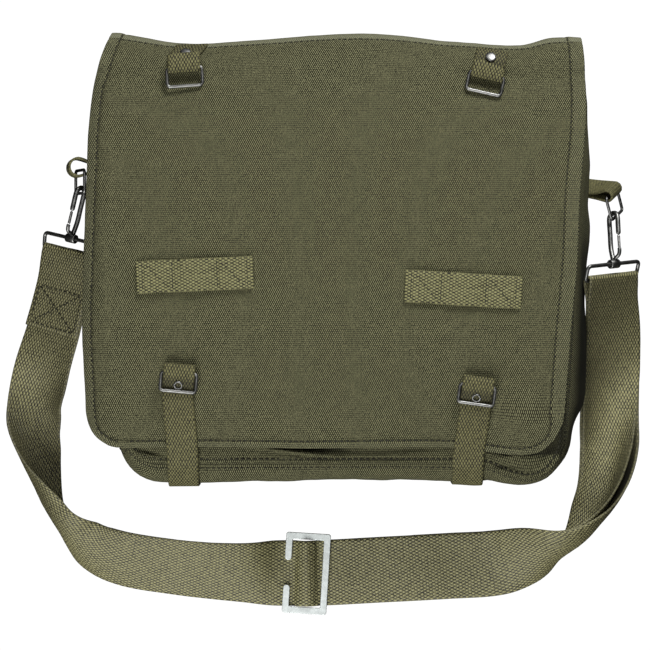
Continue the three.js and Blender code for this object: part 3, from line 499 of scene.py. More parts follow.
# the bag's body, from the same tables as its solids
gap = 0.3  # left between pieces
canvas = 1.5  # thickness of the cloth
webbing = 1.8  # thickness of straps and bands
flapClearance = 0.8  # between the front and the flap
bodySet = {
    "sections": table(
        "y left right depth",
        (-104, -152, 180, 69), (-60, -153, 181, 77), (0, -154, 184, 80),
        (70, -155, 188, 77), (140, -155, 191, 68), (204, -151, 186, 50)),
    "bottom": -104, "top": 204, "corner": {"left": 26, "right": 17},
    "crown": 7, "crownRun": 45,
    "sideBulge": table(
        "y left right",
        (-104, 4.5, 5), (-86, 6.5, 6.5), (-72, 9.5, 10), (-58, 12, 16), (-30, 13.4, 16), (10, 13.4, 14.4),
        (60, 11.3, 11.3), (204, 11, 11)),
    "bottomBulge": table(
        "x bulge",
        (-152, 15), (-65, 14), (0, 12.2), (60, 11.8), (100, 13.2), (122, 13.5), (145, 5.5), (180, 3)),
    "droop": table("x fall", (110, 0), (124, 2), (140, 9), (154, 12), (166, 9), (178, 2), (184, 0)),
    "droopRun": 22, "droopSink": 0.4,
    "bottomStart": 0.4, "fullBottom": 0.72,  # shares of the depth between which the bottom is fullest
    "seam": 2.6,  # stitch line's distance from the seam
    "sideDusk": table(  # shade on the sides, deepest where the strap lies close on the right
        "y left right",
        (-104, 0.25, 0.5), (-60, 0.3, 0.95), (40, 0.3, 0.95), (90, 0.3, 0.2), (204, 0.2, 0.1)),
    "lap": 0.9, "lapDrop": 1.1,  # the front's edge laps over the gusset by this, and lies above it
}

# folds of the front where it shows under the flap
frontFolds = table(
    "x y heading along across height",
    (-136, -95.5, -12, 12, 1.5, -1.8), (-136, -98.6, -12, 12, 1.6, 0.9), (-19, -97, -6.5, 30, 1.7, 1.7),
    (-14, -92.5, -4, 30, 2.6, -4.5), (60, -94.5, 2, 30, 1.5, -1.2), (136, -100.5, 20, 7, 1.7, 2.0),
    (147, -103.5, 62, 6, 1.5, 1.8), (138, -96, 0, 13, 1.8, -2.8), (154, -98, -6, 14, 1.5, -1.6),
    (132, -107.5, 0, 14, 1.5, -2.0), (165, -101, 40, 10, 1.6, -0.9), (0, -94, 0, 170, 2.4, -0.8),
    (-15, -99.3, -6.5, 30, 1.3, -1.6), (42, -101.2, 0, 34, 1.2, -1.2), (42, -99.2, 0, 34, 1.4, 0.9))


def sideSeam(y, side):
    plain = sample(bodySet["sections"], "y", side, y)
    corner = bodySet["corner"][side]
    below = max(corner - (y - bodySet["bottom"]), 0)
    inset = corner - math.sqrt(max(corner ** 2 - below ** 2, 0))
    return plain + inset if side == "left" else plain - inset


def frontHeight(x, y):
    left = sample(bodySet["sections"], "y", "left", y)
    right = sample(bodySet["sections"], "y", "right", y)
    across = clamp((2 * x - left - right) / (right - left), -1, 1)
    rise = 1 - math.exp(-max(y - bodySet["bottom"], 0) / bodySet["crownRun"])
    return sample(bodySet["sections"], "y", "depth", y) + bodySet["crown"] * (1 - across ** 2) * rise


def droop(x, y):  # how far the front's lower edge hangs over the bottom at the right
    bottom = bodySet["bottom"]
    return sample(bodySet["droop"], "x", "fall", x) * (1 - ease(y, bottom, bottom + bodySet["droopRun"]))


def sideLine(side, step):  # down one side of the seam to the end of its corner
    bottom, top, corner = bodySet["bottom"], bodySet["top"], bodySet["corner"][side]
    count = round((top - bottom - corner) / step)
    heights = [top - (top - bottom - corner) * k / count for k in range(count)]
    turns = max(round(corner * math.pi / 2 / step), 6)
    heights += [bottom + corner * (1 - math.sin(math.pi / 2 * k / turns)) for k in range(turns + 1)]
    return [Vector((sideSeam(y, side), y, 0)) for y in heights]


def seamLine(step):  # down the left, along the bottom and up the right; z holds the sunk height
    left, right = sideLine("left", step), sideLine("right", step)[::-1]
    count = round((right[0].x - left[-1].x) / step)
    floor = [left[-1].lerp(right[0], k / count) for k in range(1, count)]
    line = []
    for point in left + floor + right:
        fall = droop(point.x, point.y)
        height = frontHeight(point.x, point.y) - bodySet["droopSink"] * fall
        line.append(Vector((point.x, point.y - fall, height)))
    return line


# folds in the gusset: place along its seam line, share of its depth, reach along and across, height
gussetFolds = table(
    "x y share along across height",
    (-140, -92, 0.72, 9, 0.10, 2.2), (-128, -103, 0.80, 6, 0.12, -2.0), (-96, -104, 0.55, 20, 0.14, 1.3),
    (20, -104, 0.62, 60, 0.10, 1.2), (140, -104, 0.86, 8, 0.08, 2.4), (150, -100, 0.70, 7, 0.16, -2.2),
    (168, -88, 0.60, 9, 0.16, 1.8), (184, 20, 0.5, 16, 0.30, -2.0), (186, 70, 0.6, 14, 0.30, 1.8),
    (-154, 40, 0.5, 18, 0.30, -1.8), (-155, 120, 0.6, 14, 0.30, 1.4), (189, 150, 0.5, 18, 0.3, -1.6))


def gussetFoldHeight(point, share):
    height = 0.0
    for x, y, at, along, across, rise in zip(*gussetFolds.values()):
        reach = math.hypot(point.x - x, point.y - y) / along
        height += rise * math.exp(-reach ** 2 - ((share - at) / across) ** 2)
    return height


gussetSet = {
    "step": 3.4, "columns": 34, "crowding": 1.9,  # columns lie closer towards the seam with the front
    "dents": [(1.1, 34, 0.0), (0.5, 12, 4.0)], "dentRun": 90,
    "stitchSink": (0.5, 1.0), "tuck": (0.9, 1.6),  # the tuck is under the front's edge
    "edgeDusk": (0.7, 1.3), "stitchDusk": (0.4, 0.8), "sideFade": (0.75, 1), "bottomLight": 0.16,
}


def bottomProfile(share):  # how full the bottom is at a share of its depth
    past = max(share - bodySet["fullBottom"], 0) / (1 - bodySet["fullBottom"])
    return (1 - past ** 2) * ease(share, 0, bodySet["bottomStart"])


def buildGusset():
    line = seamLine(gussetSet["step"])
    columns, seam = gussetSet["columns"], bodySet["seam"]
    shares = [1 - (1 - j / columns) ** gussetSet["crowding"] for j in range(columns + 1)]
    rows, weave, shade, run = [], [], [], 0.0
    for k, point in enumerate(line):
        way = line[min(k + 1, len(line) - 1)] - line[max(k - 1, 0)]
        out = Vector((way.y, -way.x, 0)).normalized()
        run += (point - line[max(k - 1, 0)]).length
        hand = "left" if out.x < 0 else "right"
        side = sample(bodySet["sideBulge"], "y", hand, point.y)
        sideShade = sample(bodySet["sideDusk"], "y", hand, point.y) * out.x ** 2
        below = max(-out.y, 0) ** 3
        bulge = between(side, sample(bodySet["bottomBulge"], "x", "bulge", point.x), below)
        top = point.z
        row, places, dusk = [], [], []
        for share in shares:
            toFront = (1 - share) * top
            middle = between(math.sin(math.pi * share), bottomProfile(share), below)
            dent = uneven(gussetSet["dents"], run, share * gussetSet["dentRun"])
            reach = gap + canvas / 2 + middle * (bulge + gussetFoldHeight(point, share) + dent)
            reach -= ridge(gussetSet["stitchSink"], toFront - seam) + ridge(gussetSet["tuck"], toFront)
            row.append(Vector((point.x, point.y, (top - bodySet["lapDrop"]) * share)) + out * reach)
            places.append((run, top * share))
            # painted shade on the sides, deepest on the right, painted light on the bottom, and painted shade
            # along the front's edge and its stitches
            sunk = sideShade * (1 - ease(share, *gussetSet["sideFade"]))
            sunk -= gussetSet["bottomLight"] * max(-out.y, 0)
            sunk += ridge(gussetSet["edgeDusk"], toFront) + ridge(gussetSet["stitchDusk"], toFront - seam)
            dusk.append(clamp(sunk, 0, 1))
        rows.append(row)
        weave.append(places)
        shade.append(dusk)
    normals = outsideNormals(rows)
    item = makeSheet("gussetCloth", rows, weave, canvas, canvasCloth, "canvas", ["gusset"], shade=shade)
    depth = bodySet["sections"]["depth"][0]
    sewn = min(range(columns), key=lambda j: abs((1 - shares[j]) * depth - seam))
    return [(row[sewn] + line[sewn] * (canvas / 2), line[sewn]) for row, line in zip(rows, normals)]


frontShade = {
    "hem": 0.8, "hemNear": 0.2, "hemFar": 1.3, "gapeNear": 0.8, "gapeFar": 2.6, "gapeLift": (2, 4),
    "fold": -0.2, "foldMost": 0.6, "stitch": (0.3, 0.8), "most": 0.95,
}


def frontDusk(x, y, near):  # painted shade under the flap's hem, in the folds and along the stitches
    below = sample(flapSet["hem"], "x", "y", x) - y
    gape = ease(sample(flapSet["lift"], "x", "rise", x), *frontShade["gapeLift"])
    start = frontShade["hemNear"] + frontShade["gapeNear"] * gape
    end = frontShade["hemFar"] + frontShade["gapeFar"] * gape
    dusk = frontShade["hem"] * (1 - ease(below, start, end))
    dusk += clamp(frontShade["fold"] * foldHeight(frontFolds, x, y), 0, frontShade["foldMost"])
    return clamp(dusk + ridge(frontShade["stitch"], near - bodySet["seam"]), 0, frontShade["most"])


# ranges are distances from the seam
panelSet = {
    "edgeStep": 2.0, "step": 4.0, "fineStep": 0.7, "fineRun": (15, 30), "columns": 150,
    "dents": [(0.5, 22, 7.0)], "dentRange": (2, 14), "foldRange": (0, 5),
    "hem": 0.4, "hemRange": (4, 5.5), "stitchSink": (0.8, 0.8), "fall": 0.9, "fallRange": (0, 1.6),
    "lapRange": (0, 4), "backDents": [(0.5, 40, 2.0)], "backRange": (0, 30),
}


def frontLift(x, y, near):  # what folds, dents, hem and stitches add to the front's plain height
    lift = uneven(panelSet["dents"], x, y) * ease(near, *panelSet["dentRange"])
    lift += foldHeight(frontFolds, x, y - droop(x, y)) * ease(near, *panelSet["foldRange"])
    lift += panelSet["hem"] * (1 - ease(near, *panelSet["hemRange"]))
    lift -= ridge(panelSet["stitchSink"], near - bodySet["seam"])
    return lift - panelSet["fall"] * (1 - ease(near, *panelSet["fallRange"]))


def panelHeights():  # rows close together where the front shows under the flap
    bottom, top, step = bodySet["bottom"], bodySet["top"], panelSet["step"]
    start, end = panelSet["fineRun"]
    heights = [bottom]
    while heights[-1] < top - step:
        share = ease(heights[-1], bottom + start, bottom + end)
        heights.append(heights[-1] + between(panelSet["fineStep"], step, share))
    return heights + [top]


def buildPanels():
    edge = [Vector((point.x, point.y, 0)) for point in seamLine(panelSet["edgeStep"])]
    finder = edgeFinder(edge)
    outward = []
    for k in range(len(edge)):
        way = (edge[min(k + 1, len(edge) - 1)] - edge[max(k - 1, 0)]).normalized()
        outward.append(Vector((way.y, -way.x, 0)))
    columns = panelSet["columns"]
    front, back, weave, shade = [], [], [], []
    for y in panelHeights():
        left, right = sideSeam(y, "left"), sideSeam(y, "right")
        frontRow, backRow, places, dusk = [], [], [], []
        for j in range(columns + 1):
            x = between(left, right, j / columns)
            fall = droop(x, y)
            _, k, near = finder.find(Vector((x, y - fall, 0)))
            z = frontHeight(x, y) - bodySet["droopSink"] * fall - canvas / 2 + frontLift(x, y, near)
            lap = outward[k] * (bodySet["lap"] * (1 - ease(near, *panelSet["lapRange"])))
            frontRow.append(Vector((x, y - fall, z)) + lap)
            dent = max(0, uneven(panelSet["backDents"], x, y)) * ease(near, *panelSet["backRange"])
            backRow.append(Vector((x, y, canvas / 2 + dent)))
            places.append((x, y))
            dusk.append(frontDusk(x, y - fall, near))
        front.append(frontRow)
        back.append(backRow)
        weave.append(places)
        shade.append(dusk)
    up = [[Vector((0, 0, 1))] * (columns + 1) for _ in front]
    item = makeSheet("frontCloth", front, weave, canvas, canvasCloth, "canvas", ["front_panel"], up, shade)
    item = makeSheet("backCloth", back, weave, canvas, canvasCloth, "canvas", ["back_panel"], up)
    spots = []
    nearest = edgeFinder([point for row in front for point in row])
    for k in range(len(edge)):
        point = edge[k] - outward[k] * bodySet["seam"]
        point.z = frontHeight(point.x, point.y)
        point.z = nearest.find(point)[0].z + canvas / 2
        spots.append((point, Vector((0, 0, 1))))
    return spots


# the flap over the mouth and the front
flapSet = {
    "top": table(
        "y z wave",
        (205, 0.85, 0), (213, 6, 0.5), (218, 20, 0.9), (219, 34, 1), (216, 47, 0.9), (209, 56.5, 0.7),
        (199, 61.5, 0.3)),
    "front": [186, 168, 146, 120, 94, 68, 42, 16, -10, -34, -54],
    "hemRows": [25, 15, 7.5, 2.5, 0],
    "edges": table(
        "y left right",
        (-98, -180, 177), (-57, -180.5, 181), (-4, -183, 185), (49, -182, 190), (95, -180.5, 192),
        (156, -178.5, 197.5), (190, -174, 197.5), (219, -163, 196), (232, -156, 195)),
    "wave": table(
        "x rise",
        (-190, 2), (-160, 4.5), (-111, -3.2), (-57, -1), (27, 4.5), (96, -1.6), (150, -4.5), (174, 1),
        (205, 0.5)),
    "hem": table("x y", (-190, -93), (-60, -91.5), (90, -92), (150, -98), (190, -97)),
    "folds": table(
        "x y heading along across height",
        (-150, 190, -15, 18, 7, 1.6), (168, 150, 75, 40, 12, 1.4), (20, 120, 75, 70, 30, 2.2),
        (-70, 70, 100, 60, 26, 1.4), (60, -20, 15, 60, 22, 1.6), (-20, -72, -6, 70, 12, 1.5),
        (160, -60, 70, 34, 12, 1.8)),
    "corner": 28, "hemPlace": -92, "sideSag": 4, "sagHeights": (20, 60), "overhang": 26, "edgeRest": 5,
    "seamInset": 20, "insetHeights": (0, 30),
    "columnStep": 3.2, "step": 3.0, "fineStep": 0.75, "fineRun": (12, 20), "fineRows": 3,
    "sideHem": {"left": 8.6, "right": 10.6}, "bottomHem": 5.2, "hemChange": (-86, -66),
    "lift": table(
        "x rise",
        (-180, 0.8), (-135, 1.0), (-116, 0), (-92, 0), (-60, 1.8), (-20, 4), (10, 3.6), (60, 1.6), (90, 0),
        (120, 0), (146, 1.8), (180, 0.8)),
    "liftRun": 26,
    "topStitch": 4.32, "foldRow": 11,  # row of the line sewn along the fold, and millimetres to a row there
    "onFront": 40,  # above this height the flap lies on the front
}

# fine creases of the flap, in the same terms as its folds
flapCreases = table(
    "x y heading along across height",
    (-137, 203, -16, 15, 2.6, 0.9), (-126, 196, -24, 16, 4, -0.6), (150, 190, 30, 16, 3.5, 0.7),
    (168, 60, 82, 30, 5, 0.7), (150, -40, 60, 22, 5, 0.8), (171, -30, 84, 26, 4, -0.7),
    (-168, 40, 88, 40, 5, 0.5), (-60, -84, 4, 26, 4, 0.7), (30, -82, -3, 30, 4, -0.6),
    (0, 170, 5, 60, 9, 0.5), (-20, 20, 12, 60, 12, 0.5))


def flapHeight(x, y):
    rest = flapSet["edgeRest"]
    pastLeft = sample(bodySet["sections"], "y", "left", y) - x
    pastRight = x - sample(bodySet["sections"], "y", "right", y)
    over = max(pastLeft, pastRight, rest) - rest
    lying = frontHeight(x, y) + flapClearance + canvas / 2 + foldHeight(flapSet["folds"], x, y)
    return lying - over ** 2 / (2 * flapSet["overhang"])


def flapTop(x, y):
    return flapHeight(x, y) + canvas / 2


def flapMouthPoint(y, z, wave, share):
    left = sample(flapSet["edges"], "y", "left", y)
    right = sample(flapSet["edges"], "y", "right", y)
    inset = flapSet["seamInset"] * (1 - ease(z, *flapSet["insetHeights"]))
    x = between(left + inset, right - inset, share)
    rise = sample(flapSet["wave"], "x", "rise", x) * wave
    sag = flapSet["sideSag"] * (2 * share - 1) ** 2 * ease(z, *flapSet["sagHeights"])
    return Vector((x, y + rise, z - sag))


def flapFrontPoint(y, share, fromHem):
    corner = flapSet["corner"]
    inset = corner - math.sqrt(corner ** 2 - max(corner - fromHem, 0) ** 2)
    left = sample(flapSet["edges"], "y", "left", y) + inset
    right = sample(flapSet["edges"], "y", "right", y) - inset
    x = between(left, right, share)
    return Vector((x, y, flapHeight(x, y)))


def flapControl(share):  # points down the flap at one share of its width
    points = [flapMouthPoint(y, z, wave, share) for y, z, wave in zip(*flapSet["top"].values())]
    points += [flapFrontPoint(y, share, flapSet["corner"]) for y in flapSet["front"]]
    for fromHem in flapSet["hemRows"]:
        middle = flapFrontPoint(flapSet["hemPlace"], share, fromHem)
        y = sample(flapSet["hem"], "x", "y", middle.x) + fromHem
        points.append(flapFrontPoint(y, share, fromHem))
    return points


sewPiece("bodySeam", [buildGusset(), buildPanels()])
print("body built")


def hemWidth(point):  # narrower along the bottom than up the sides
    side = flapSet["sideHem"]["left" if point.x < 0 else "right"]
    return between(flapSet["bottomHem"], side, ease(point.y, *flapSet["hemChange"]))


def flapShares():  # columns close together in the side hems
    width = flapSet["edges"]["right"][0] - flapSet["edges"]["left"][0]
    places = [0.0]
    while places[-1] < width / 2:
        share = ease(places[-1], *flapSet["fineRun"])
        places.append(places[-1] + between(flapSet["fineStep"], flapSet["columnStep"], share))
    half = [place / places[-1] / 2 for place in places]
    return half + [1 - share for share in half[-2::-1]]


def flapPlaces(points):  # rows close together in the hem and along the fold's stitches
    places = []
    last = len(points) - 1
    for k in range(last):
        fine = k >= last - flapSet["fineRows"] or k == int(flapSet["topStitch"])
        step = flapSet["fineStep" if fine else "step"]
        count = max(1, round((points[k + 1] - points[k]).length / step))
        places += [k + j / count for j in range(count)]
    return places + [last]


# heights and shades worked into the flap; ranges beside the hem are from its line of stitches
flapWork = {
    "dents": [(0.45, 26, 0.0), (0.16, 8, 3.0)],
    "hem": 0.6, "hemRange": (-0.6, 1.2), "stitchSink": (0.9, 0.9), "stitchDusk": (0.55, 0.75),
    "pucker": (0.22, 5), "puckerDents": [(1, 5, 9.0)],
    "foldSink": (0.6, 1.0), "foldDusk": (0.5, 0.8), "foldSwell": (0.35, 2.4), "swellAbove": 0.35,
    # painted light on the fold over the mouth, and a paler band at the hem's edge
    "paleness": 0.32, "foldLightStart": (2.5, 3.9), "foldLightEnd": (4.1, 4.6),
    "hemPale": 0.05, "hemPaleRange": (-1.6, -0.6),
}


def flapLift(point, at, fromStitch):
    lift = foldHeight(flapCreases, point.x, point.y) if point.z > flapSet["onFront"] else 0.0
    lift += uneven(flapWork["dents"], point.x, point.y)
    lift += flapWork["hem"] * (1 - ease(fromStitch, *flapWork["hemRange"]))  # doubled cloth
    lift -= ridge(flapWork["stitchSink"], fromStitch)
    lift += ridge(flapWork["pucker"], fromStitch) * uneven(flapWork["puckerDents"], point.x, point.y)
    fromFold = at - flapSet["topStitch"]
    lift -= ridge(flapWork["foldSink"], fromFold * flapSet["foldRow"])
    lift += ridge(flapWork["foldSwell"], (fromFold + flapWork["swellAbove"]) * flapSet["foldRow"])
    fromHem = point.y - sample(flapSet["hem"], "x", "y", point.x)
    return lift + sample(flapSet["lift"], "x", "rise", point.x) * (1 - ease(fromHem, 0, flapSet["liftRun"]))


def flapShade(at, fromStitch):  # painted shade along the stitches and the fold's stitch line, painted light on the fold over the mouth, and a paler hem edge
    sewn = ridge(flapWork["stitchDusk"], fromStitch)
    sewn += ridge(flapWork["foldDusk"], (at - flapSet["topStitch"]) * flapSet["foldRow"])
    paleTone = flapWork["paleness"] * within(at, flapWork["foldLightStart"], flapWork["foldLightEnd"])
    return sewn - paleTone - flapWork["hemPale"] * (1 - ease(fromStitch, *flapWork["hemPaleRange"]))


def buildFlap():
    shares = flapShares()
    columns = len(shares) - 1
    control = [flapControl(share) for share in shares]
    places = flapPlaces(control[columns // 2])
    rows = [[splineAt(points, at) for points in control] for at in places]
    normals = outsideNormals(rows)
    lengths = runLengths(rows, columns // 2)
    finder = edgeFinder([row[0] for row in rows] + rows[-1] + [row[columns] for row in rows])
    worked, weave, shade = [], [], []
    for i, at in enumerate(places):
        line, spots, dusk = [], [], []
        for point, normal in zip(rows[i], normals[i]):
            fromStitch = finder.find(point)[2] - hemWidth(point)
            line.append(point + normal * flapLift(point, at, fromStitch))
            spots.append((point.x, lengths[i]))
            dusk.append(flapShade(at, fromStitch))
        worked.append(line)
        weave.append(spots)
        shade.append(dusk)
    item = makeSheet("flapCloth", worked, weave, canvas, canvasCloth, "canvas", ["flap"], shade=shade)
    return worked


threadRise = 0.1  # stitches lie this far above the cloth
flapThread = {
    "from": 30,  # the hem is sewn from this height
    "foldAbove": 205, "foldHeight": 50, "ends": 6,  # the fold's line lies past this y, near this height
}


def flapSewing(rows):
    normals = outsideNormals(rows)
    finder = edgeFinder([point for row in rows for point in row])
    wide = len(rows[0])
    start = next(i for i, row in enumerate(rows) if row[0].z > flapThread["from"])
    edge = [row[0] for row in rows[start:]] + rows[-1][1:]
    edge += [row[-1] for row in rows[start:-1][::-1]]
    spots = []
    for k in range(2, len(edge) - 2):
        way = (edge[k + 2] - edge[k - 2]).normalized()
        i, j = divmod(finder.find(edge[k])[1], wide)
        target = edge[k] + normals[i][j].cross(way).normalized() * hemWidth(edge[k])
        i, j = divmod(finder.find(target)[1], wide)
        normal = normals[i][j]
        target -= normal * normal.dot(target - rows[i][j])
        spots.append((target + normal * (canvas / 2 + threadRise), normal))
    middle = [row[wide // 2] for row in rows]
    behind = [i for i, point in enumerate(middle) if point.y > flapThread["foldAbove"]]
    fold = min(behind, key=lambda i: abs(middle[i].z - flapThread["foldHeight"]))
    line = []
    for j in range(flapThread["ends"], wide - flapThread["ends"]):
        line.append((rows[fold][j] + normals[fold][j] * (canvas / 2 + threadRise), normals[fold][j]))
    return [spots, line]


sewPiece("flapSewing", flapSewing(buildFlap()))
print("flap built")


# narrow webbing on the front: closing straps, keepers and top tabs
bandSet = {"width": 23.5, "columns": 10, "play": 0.7, "tabPlay": 0.7, "wire": 1.1, "ringWire": 1.3}
closureSet = {
    "left": {"x": -109.5, "bar": -36, "turn": -5, "lean": 2},
    "right": {"x": 115, "bar": -45.5, "turn": -8, "lean": -6.5},
    "width": 22.4, "pitch": 14, "tail": 24, "slack": 3.4, "slackBelow": 0.4, "turnRun": 40,
    "shares": [0.18, 0.32, 0.46, 0.6, 0.74, 0.82, 0.88, 0.94],
    "panelRows": [(-106.8, 1.8), (-100, 3)],
    "hemRow": (-88, 0.4), "tailClearance": 4,
    "climbStart": 12.5, "climbEnd": 6, "climbShare": 0.6, "doubled": 3, "tailRows": [8, 16, 22],
    "tuckDusk": 0.5, "tuckStart": (-0.15, 0), "tuckEnd": (0.9, 1.7),  # shade where the strap enters its ring
}
bandTurn = bandSet["wire"] + bandSet["tabPlay"] + webbing / 2
ringSet = {"inner": 24.6, "drop": 14, "corner": 2.4, "lean": -4}
# radius and height pairs
eyeletSet = {
    "rise": 0.7,
    "profile": [(2.2, 0.1), (2.3, 0.6), (2.65, 0.9), (3.05, 0.85), (3.4, 0.4), (3.5, -0.3), (2.2, -0.3)],
}
rivetSet = {
    "rise": 0.1,
    "profile": [(4.2, 0), (4.2, 0.4), (3.9, 0.75), (3.0, 1.05), (1.6, 1.2), (0.4, 1.25)],
}


def turnRound(y, z, radius, start, end, steps=5):
    angles = [math.radians(between(start, end, k / steps)) for k in range(steps + 1)]
    return [(y + radius * math.cos(a), z + radius * math.sin(a)) for a in angles]


def closureBarHeight(x, bar):
    top = bar + closureSet["slack"] + bandTurn
    heights = [flapTop(x, bar)] + [flapTop(x + k * bandSet["width"], top) for k in (-0.5, 0, 0.5)]
    return max(heights) + bandSet["play"] + webbing + bandSet["tabPlay"] + bandSet["wire"]


def doubledHeight(x, y):
    return flapTop(x, y) + bandSet["play"] + 1.5 * webbing + gap


def climbHeight(x, bar, barHeight):
    low = doubledHeight(x, bar - closureSet["climbStart"])
    return between(low, barHeight + bandTurn, closureSet["climbShare"])


def closureShift(side, y):  # sideways place of the strap's middle
    bar = closureSet[side]["bar"]
    below = bar - y
    slope = math.tan(math.radians(closureSet[side]["turn"]))
    rest = closureSet[side]["lean"] - slope * closureSet["pitch"]
    leant = ease(below, closureSet["pitch"], bar - bodySet["bottom"])
    return slope * min(below, closureSet["pitch"]) + rest * leant


def closureSlope(side, y):  # how much a row of the strap leans
    below = closureSet[side]["bar"] - y
    slope = math.tan(math.radians(closureSet[side]["turn"]))
    return slope * (1 - ease(below, closureSet["pitch"], closureSet["turnRun"]))


def closureLine(side, share, barHeight):
    bottom, bar = bodySet["bottom"], closureSet[side]["bar"]
    tail = bar - closureSet["tail"]
    belowTail = tail - closureSet["tailClearance"]
    hem, hemRise = closureSet["hemRow"]
    rest = bandSet["play"] + webbing / 2
    across = share * closureSet["width"]
    nudge = 0.01  # share of the depth over which the bottom's slope is taken

    def spot(y, height):
        x = closureSet[side]["x"] + across + closureShift(side, y)
        place = y + across * closureSlope(side, y)
        return Vector((x, place, height(x, place)))

    def onFlap(y, rise=0.0):
        return spot(y, lambda x, at: flapTop(x, at) + rest + rise)

    edge = spot(bottom, frontHeight)
    bulge = sample(bodySet["bottomBulge"], "x", "bulge", edge.x) + closureSet["slackBelow"]
    top = edge.z - bodySet["lapDrop"]
    line = []
    for part in closureSet["shares"]:
        slope = bulge * (bottomProfile(part + nudge) - bottomProfile(part - nudge))
        out = Vector((0, -2 * nudge * top, -slope)).normalized()
        place = Vector((edge.x, bottom - gap - canvas / 2 - bulge * bottomProfile(part), top * part))
        line.append(place + out * (canvas / 2 + rest))
    line += [spot(y, lambda x, at: frontHeight(x, at) + rise) for y, rise in closureSet["panelRows"]]
    line += [onFlap(hem, hemRise), onFlap((hem + belowTail) / 2), onFlap(belowTail)]
    line += [spot(y, doubledHeight) for y in (tail + closureSet["doubled"], bar - closureSet["climbStart"])]
    line.append(spot(bar - closureSet["climbEnd"], lambda x, at: climbHeight(x, bar, barHeight)))
    line.append(spot(bar, lambda x, at: barHeight + bandTurn))
    turned = turnRound(bar + closureSet["slack"], barHeight, bandTurn, 90, -90)
    line += [spot(y, lambda x, at: z) for y, z in turned]
    return line + [onFlap(bar - below) for below in closureSet["tailRows"]]


def bandShares():
    return [k / bandSet["columns"] - 0.5 for k in range(bandSet["columns"] + 1)]


def makeBand(name, columns, node, dusk=None, step=2.2):
    # webbing from lines of points, one for each share of its width; dusk gives the shade at a place
    middle = columns[len(columns) // 2]
    places = fineSteps(middle, step)
    rows = [[splineAt(points, at) for points in columns] for at in places]
    lengths = runLengths(rows, len(columns) // 2)
    weave = [[(share * bandSet["width"], lengths[i]) for share in bandShares()] for i in range(len(rows))]
    shade = [[dusk(at)] * len(columns) for at in places] if dusk else None
    item = makeSheet(name, rows, weave, webbing, bandCloth, "webbing", [node], shade=shade)
    return rows


def turnedParts(profile, place, sides=28, looped=True):
    # turned about the local z axis; a profile that doesn't close gets a flat top and bottom
    xAxis, yAxis = Vector((1, 0, 0)), Vector((0, 1, 0))
    rings = [ringOf(Vector((0, 0, z)), xAxis, yAxis, r, sides) for r, z in profile]
    return tubeParts([[place @ point for point in ring] for ring in rings], looped)


def makeTurned(name, profile, place, node, looped=True):
    makePiece(name, *turnedParts(profile, place, looped=looped), darkNickel, "dark_nickel", [node])


def makeWireRing(name, size, place, node, body="bag", sides=14, cornerSteps=7):
    width, height, corner, wire = size
    up = Vector((0, 0, 1))
    rings = []
    for quarter, (sx, sy) in enumerate(((1, 1), (-1, 1), (-1, -1), (1, -1))):
        centre = Vector((sx * (width / 2 - corner), sy * (height / 2 - corner), 0))
        for step in range(cornerSteps + 1):
            angle = math.radians(90 * (quarter + step / cornerSteps))
            out = Vector((math.cos(angle), math.sin(angle), 0))
            ring = ringOf(centre + out * corner, out, up, wire, sides)
            rings.append([place @ point for point in ring])
    makePiece(name, *tubeParts(rings, True), darkNickel, "dark_nickel", [node], body)


def makeBandRing(name, height, place, node, body="bag"):
    size = (ringSet["inner"] + 2 * bandSet["wire"], height, ringSet["corner"], bandSet["ringWire"])
    makeWireRing(name, size, place, node, body)


def buildClosure(side):
    x, bar = closureSet[side]["x"], closureSet[side]["bar"]
    pitch, climbStart, climbEnd = (closureSet[key] for key in ("pitch", "climbStart", "climbEnd"))
    turned = Matrix.Rotation(math.radians(closureSet[side]["turn"]), 4, "Z")
    barHeight = closureBarHeight(x, bar)
    columns = [closureLine(side, share, barHeight) for share in bandShares()]
    inRing = len(closureSet["shares"]) + len(closureSet["panelRows"]) + 4  # row that goes into the ring

    def tuckShade(at):
        return closureSet["tuckDusk"] * within(at - inRing, closureSet["tuckStart"], closureSet["tuckEnd"])

    def seated(y, height, tilt):
        place = Matrix.Translation((x + closureShift(side, y), y, height))
        return place @ turned @ Matrix.Rotation(tilt, 4, "X")

    makeBand("closingWebbing." + side, columns, "closing_strap_" + side, tuckShade)
    lowHeight = doubledHeight(x, bar - pitch) + webbing / 2 + bandSet["play"] + bandSet["wire"]
    slope = math.asin((barHeight - lowHeight) / pitch)
    place = seated(bar - pitch * math.cos(slope) / 2, (barHeight + lowHeight) / 2, slope)
    makeBandRing("closingRing." + side, pitch, place, "closing_ring_" + side)
    low, high = doubledHeight(x, bar - climbStart), climbHeight(x, bar, barHeight)
    height = (low + high) / 2 + webbing / 2 + eyeletSet["rise"]
    place = seated(bar - (climbStart + climbEnd) / 2, height, math.atan2(high - low, climbStart - climbEnd))
    makeTurned("closingEyelet." + side, eyeletSet["profile"], place, "closing_stud_" + side)


keeperSet = {
    "left": (-98, 37.6, 2.4), "right": (104, 26.7, -3.5),  # middle and heading
    "length": 87, "steps": 58, "loop": 34, "rise": 1.4, "endRise": 0.7, "endRange": (15, 19),
    "seams": (-39.5, -17.0, 17.0, 39.5), "seamSink": (0.8, 1.0), "seamEdge": (0.44, 0.5),
    "seamSpots": (-10.5, -5, 0, 5, 10.5), "threadSink": -0.1,
    "diagonals": ((-37.5, -19), (19, 37.5)), "diagonalHalf": 9.5, "diagonalRise": 0.45,
}


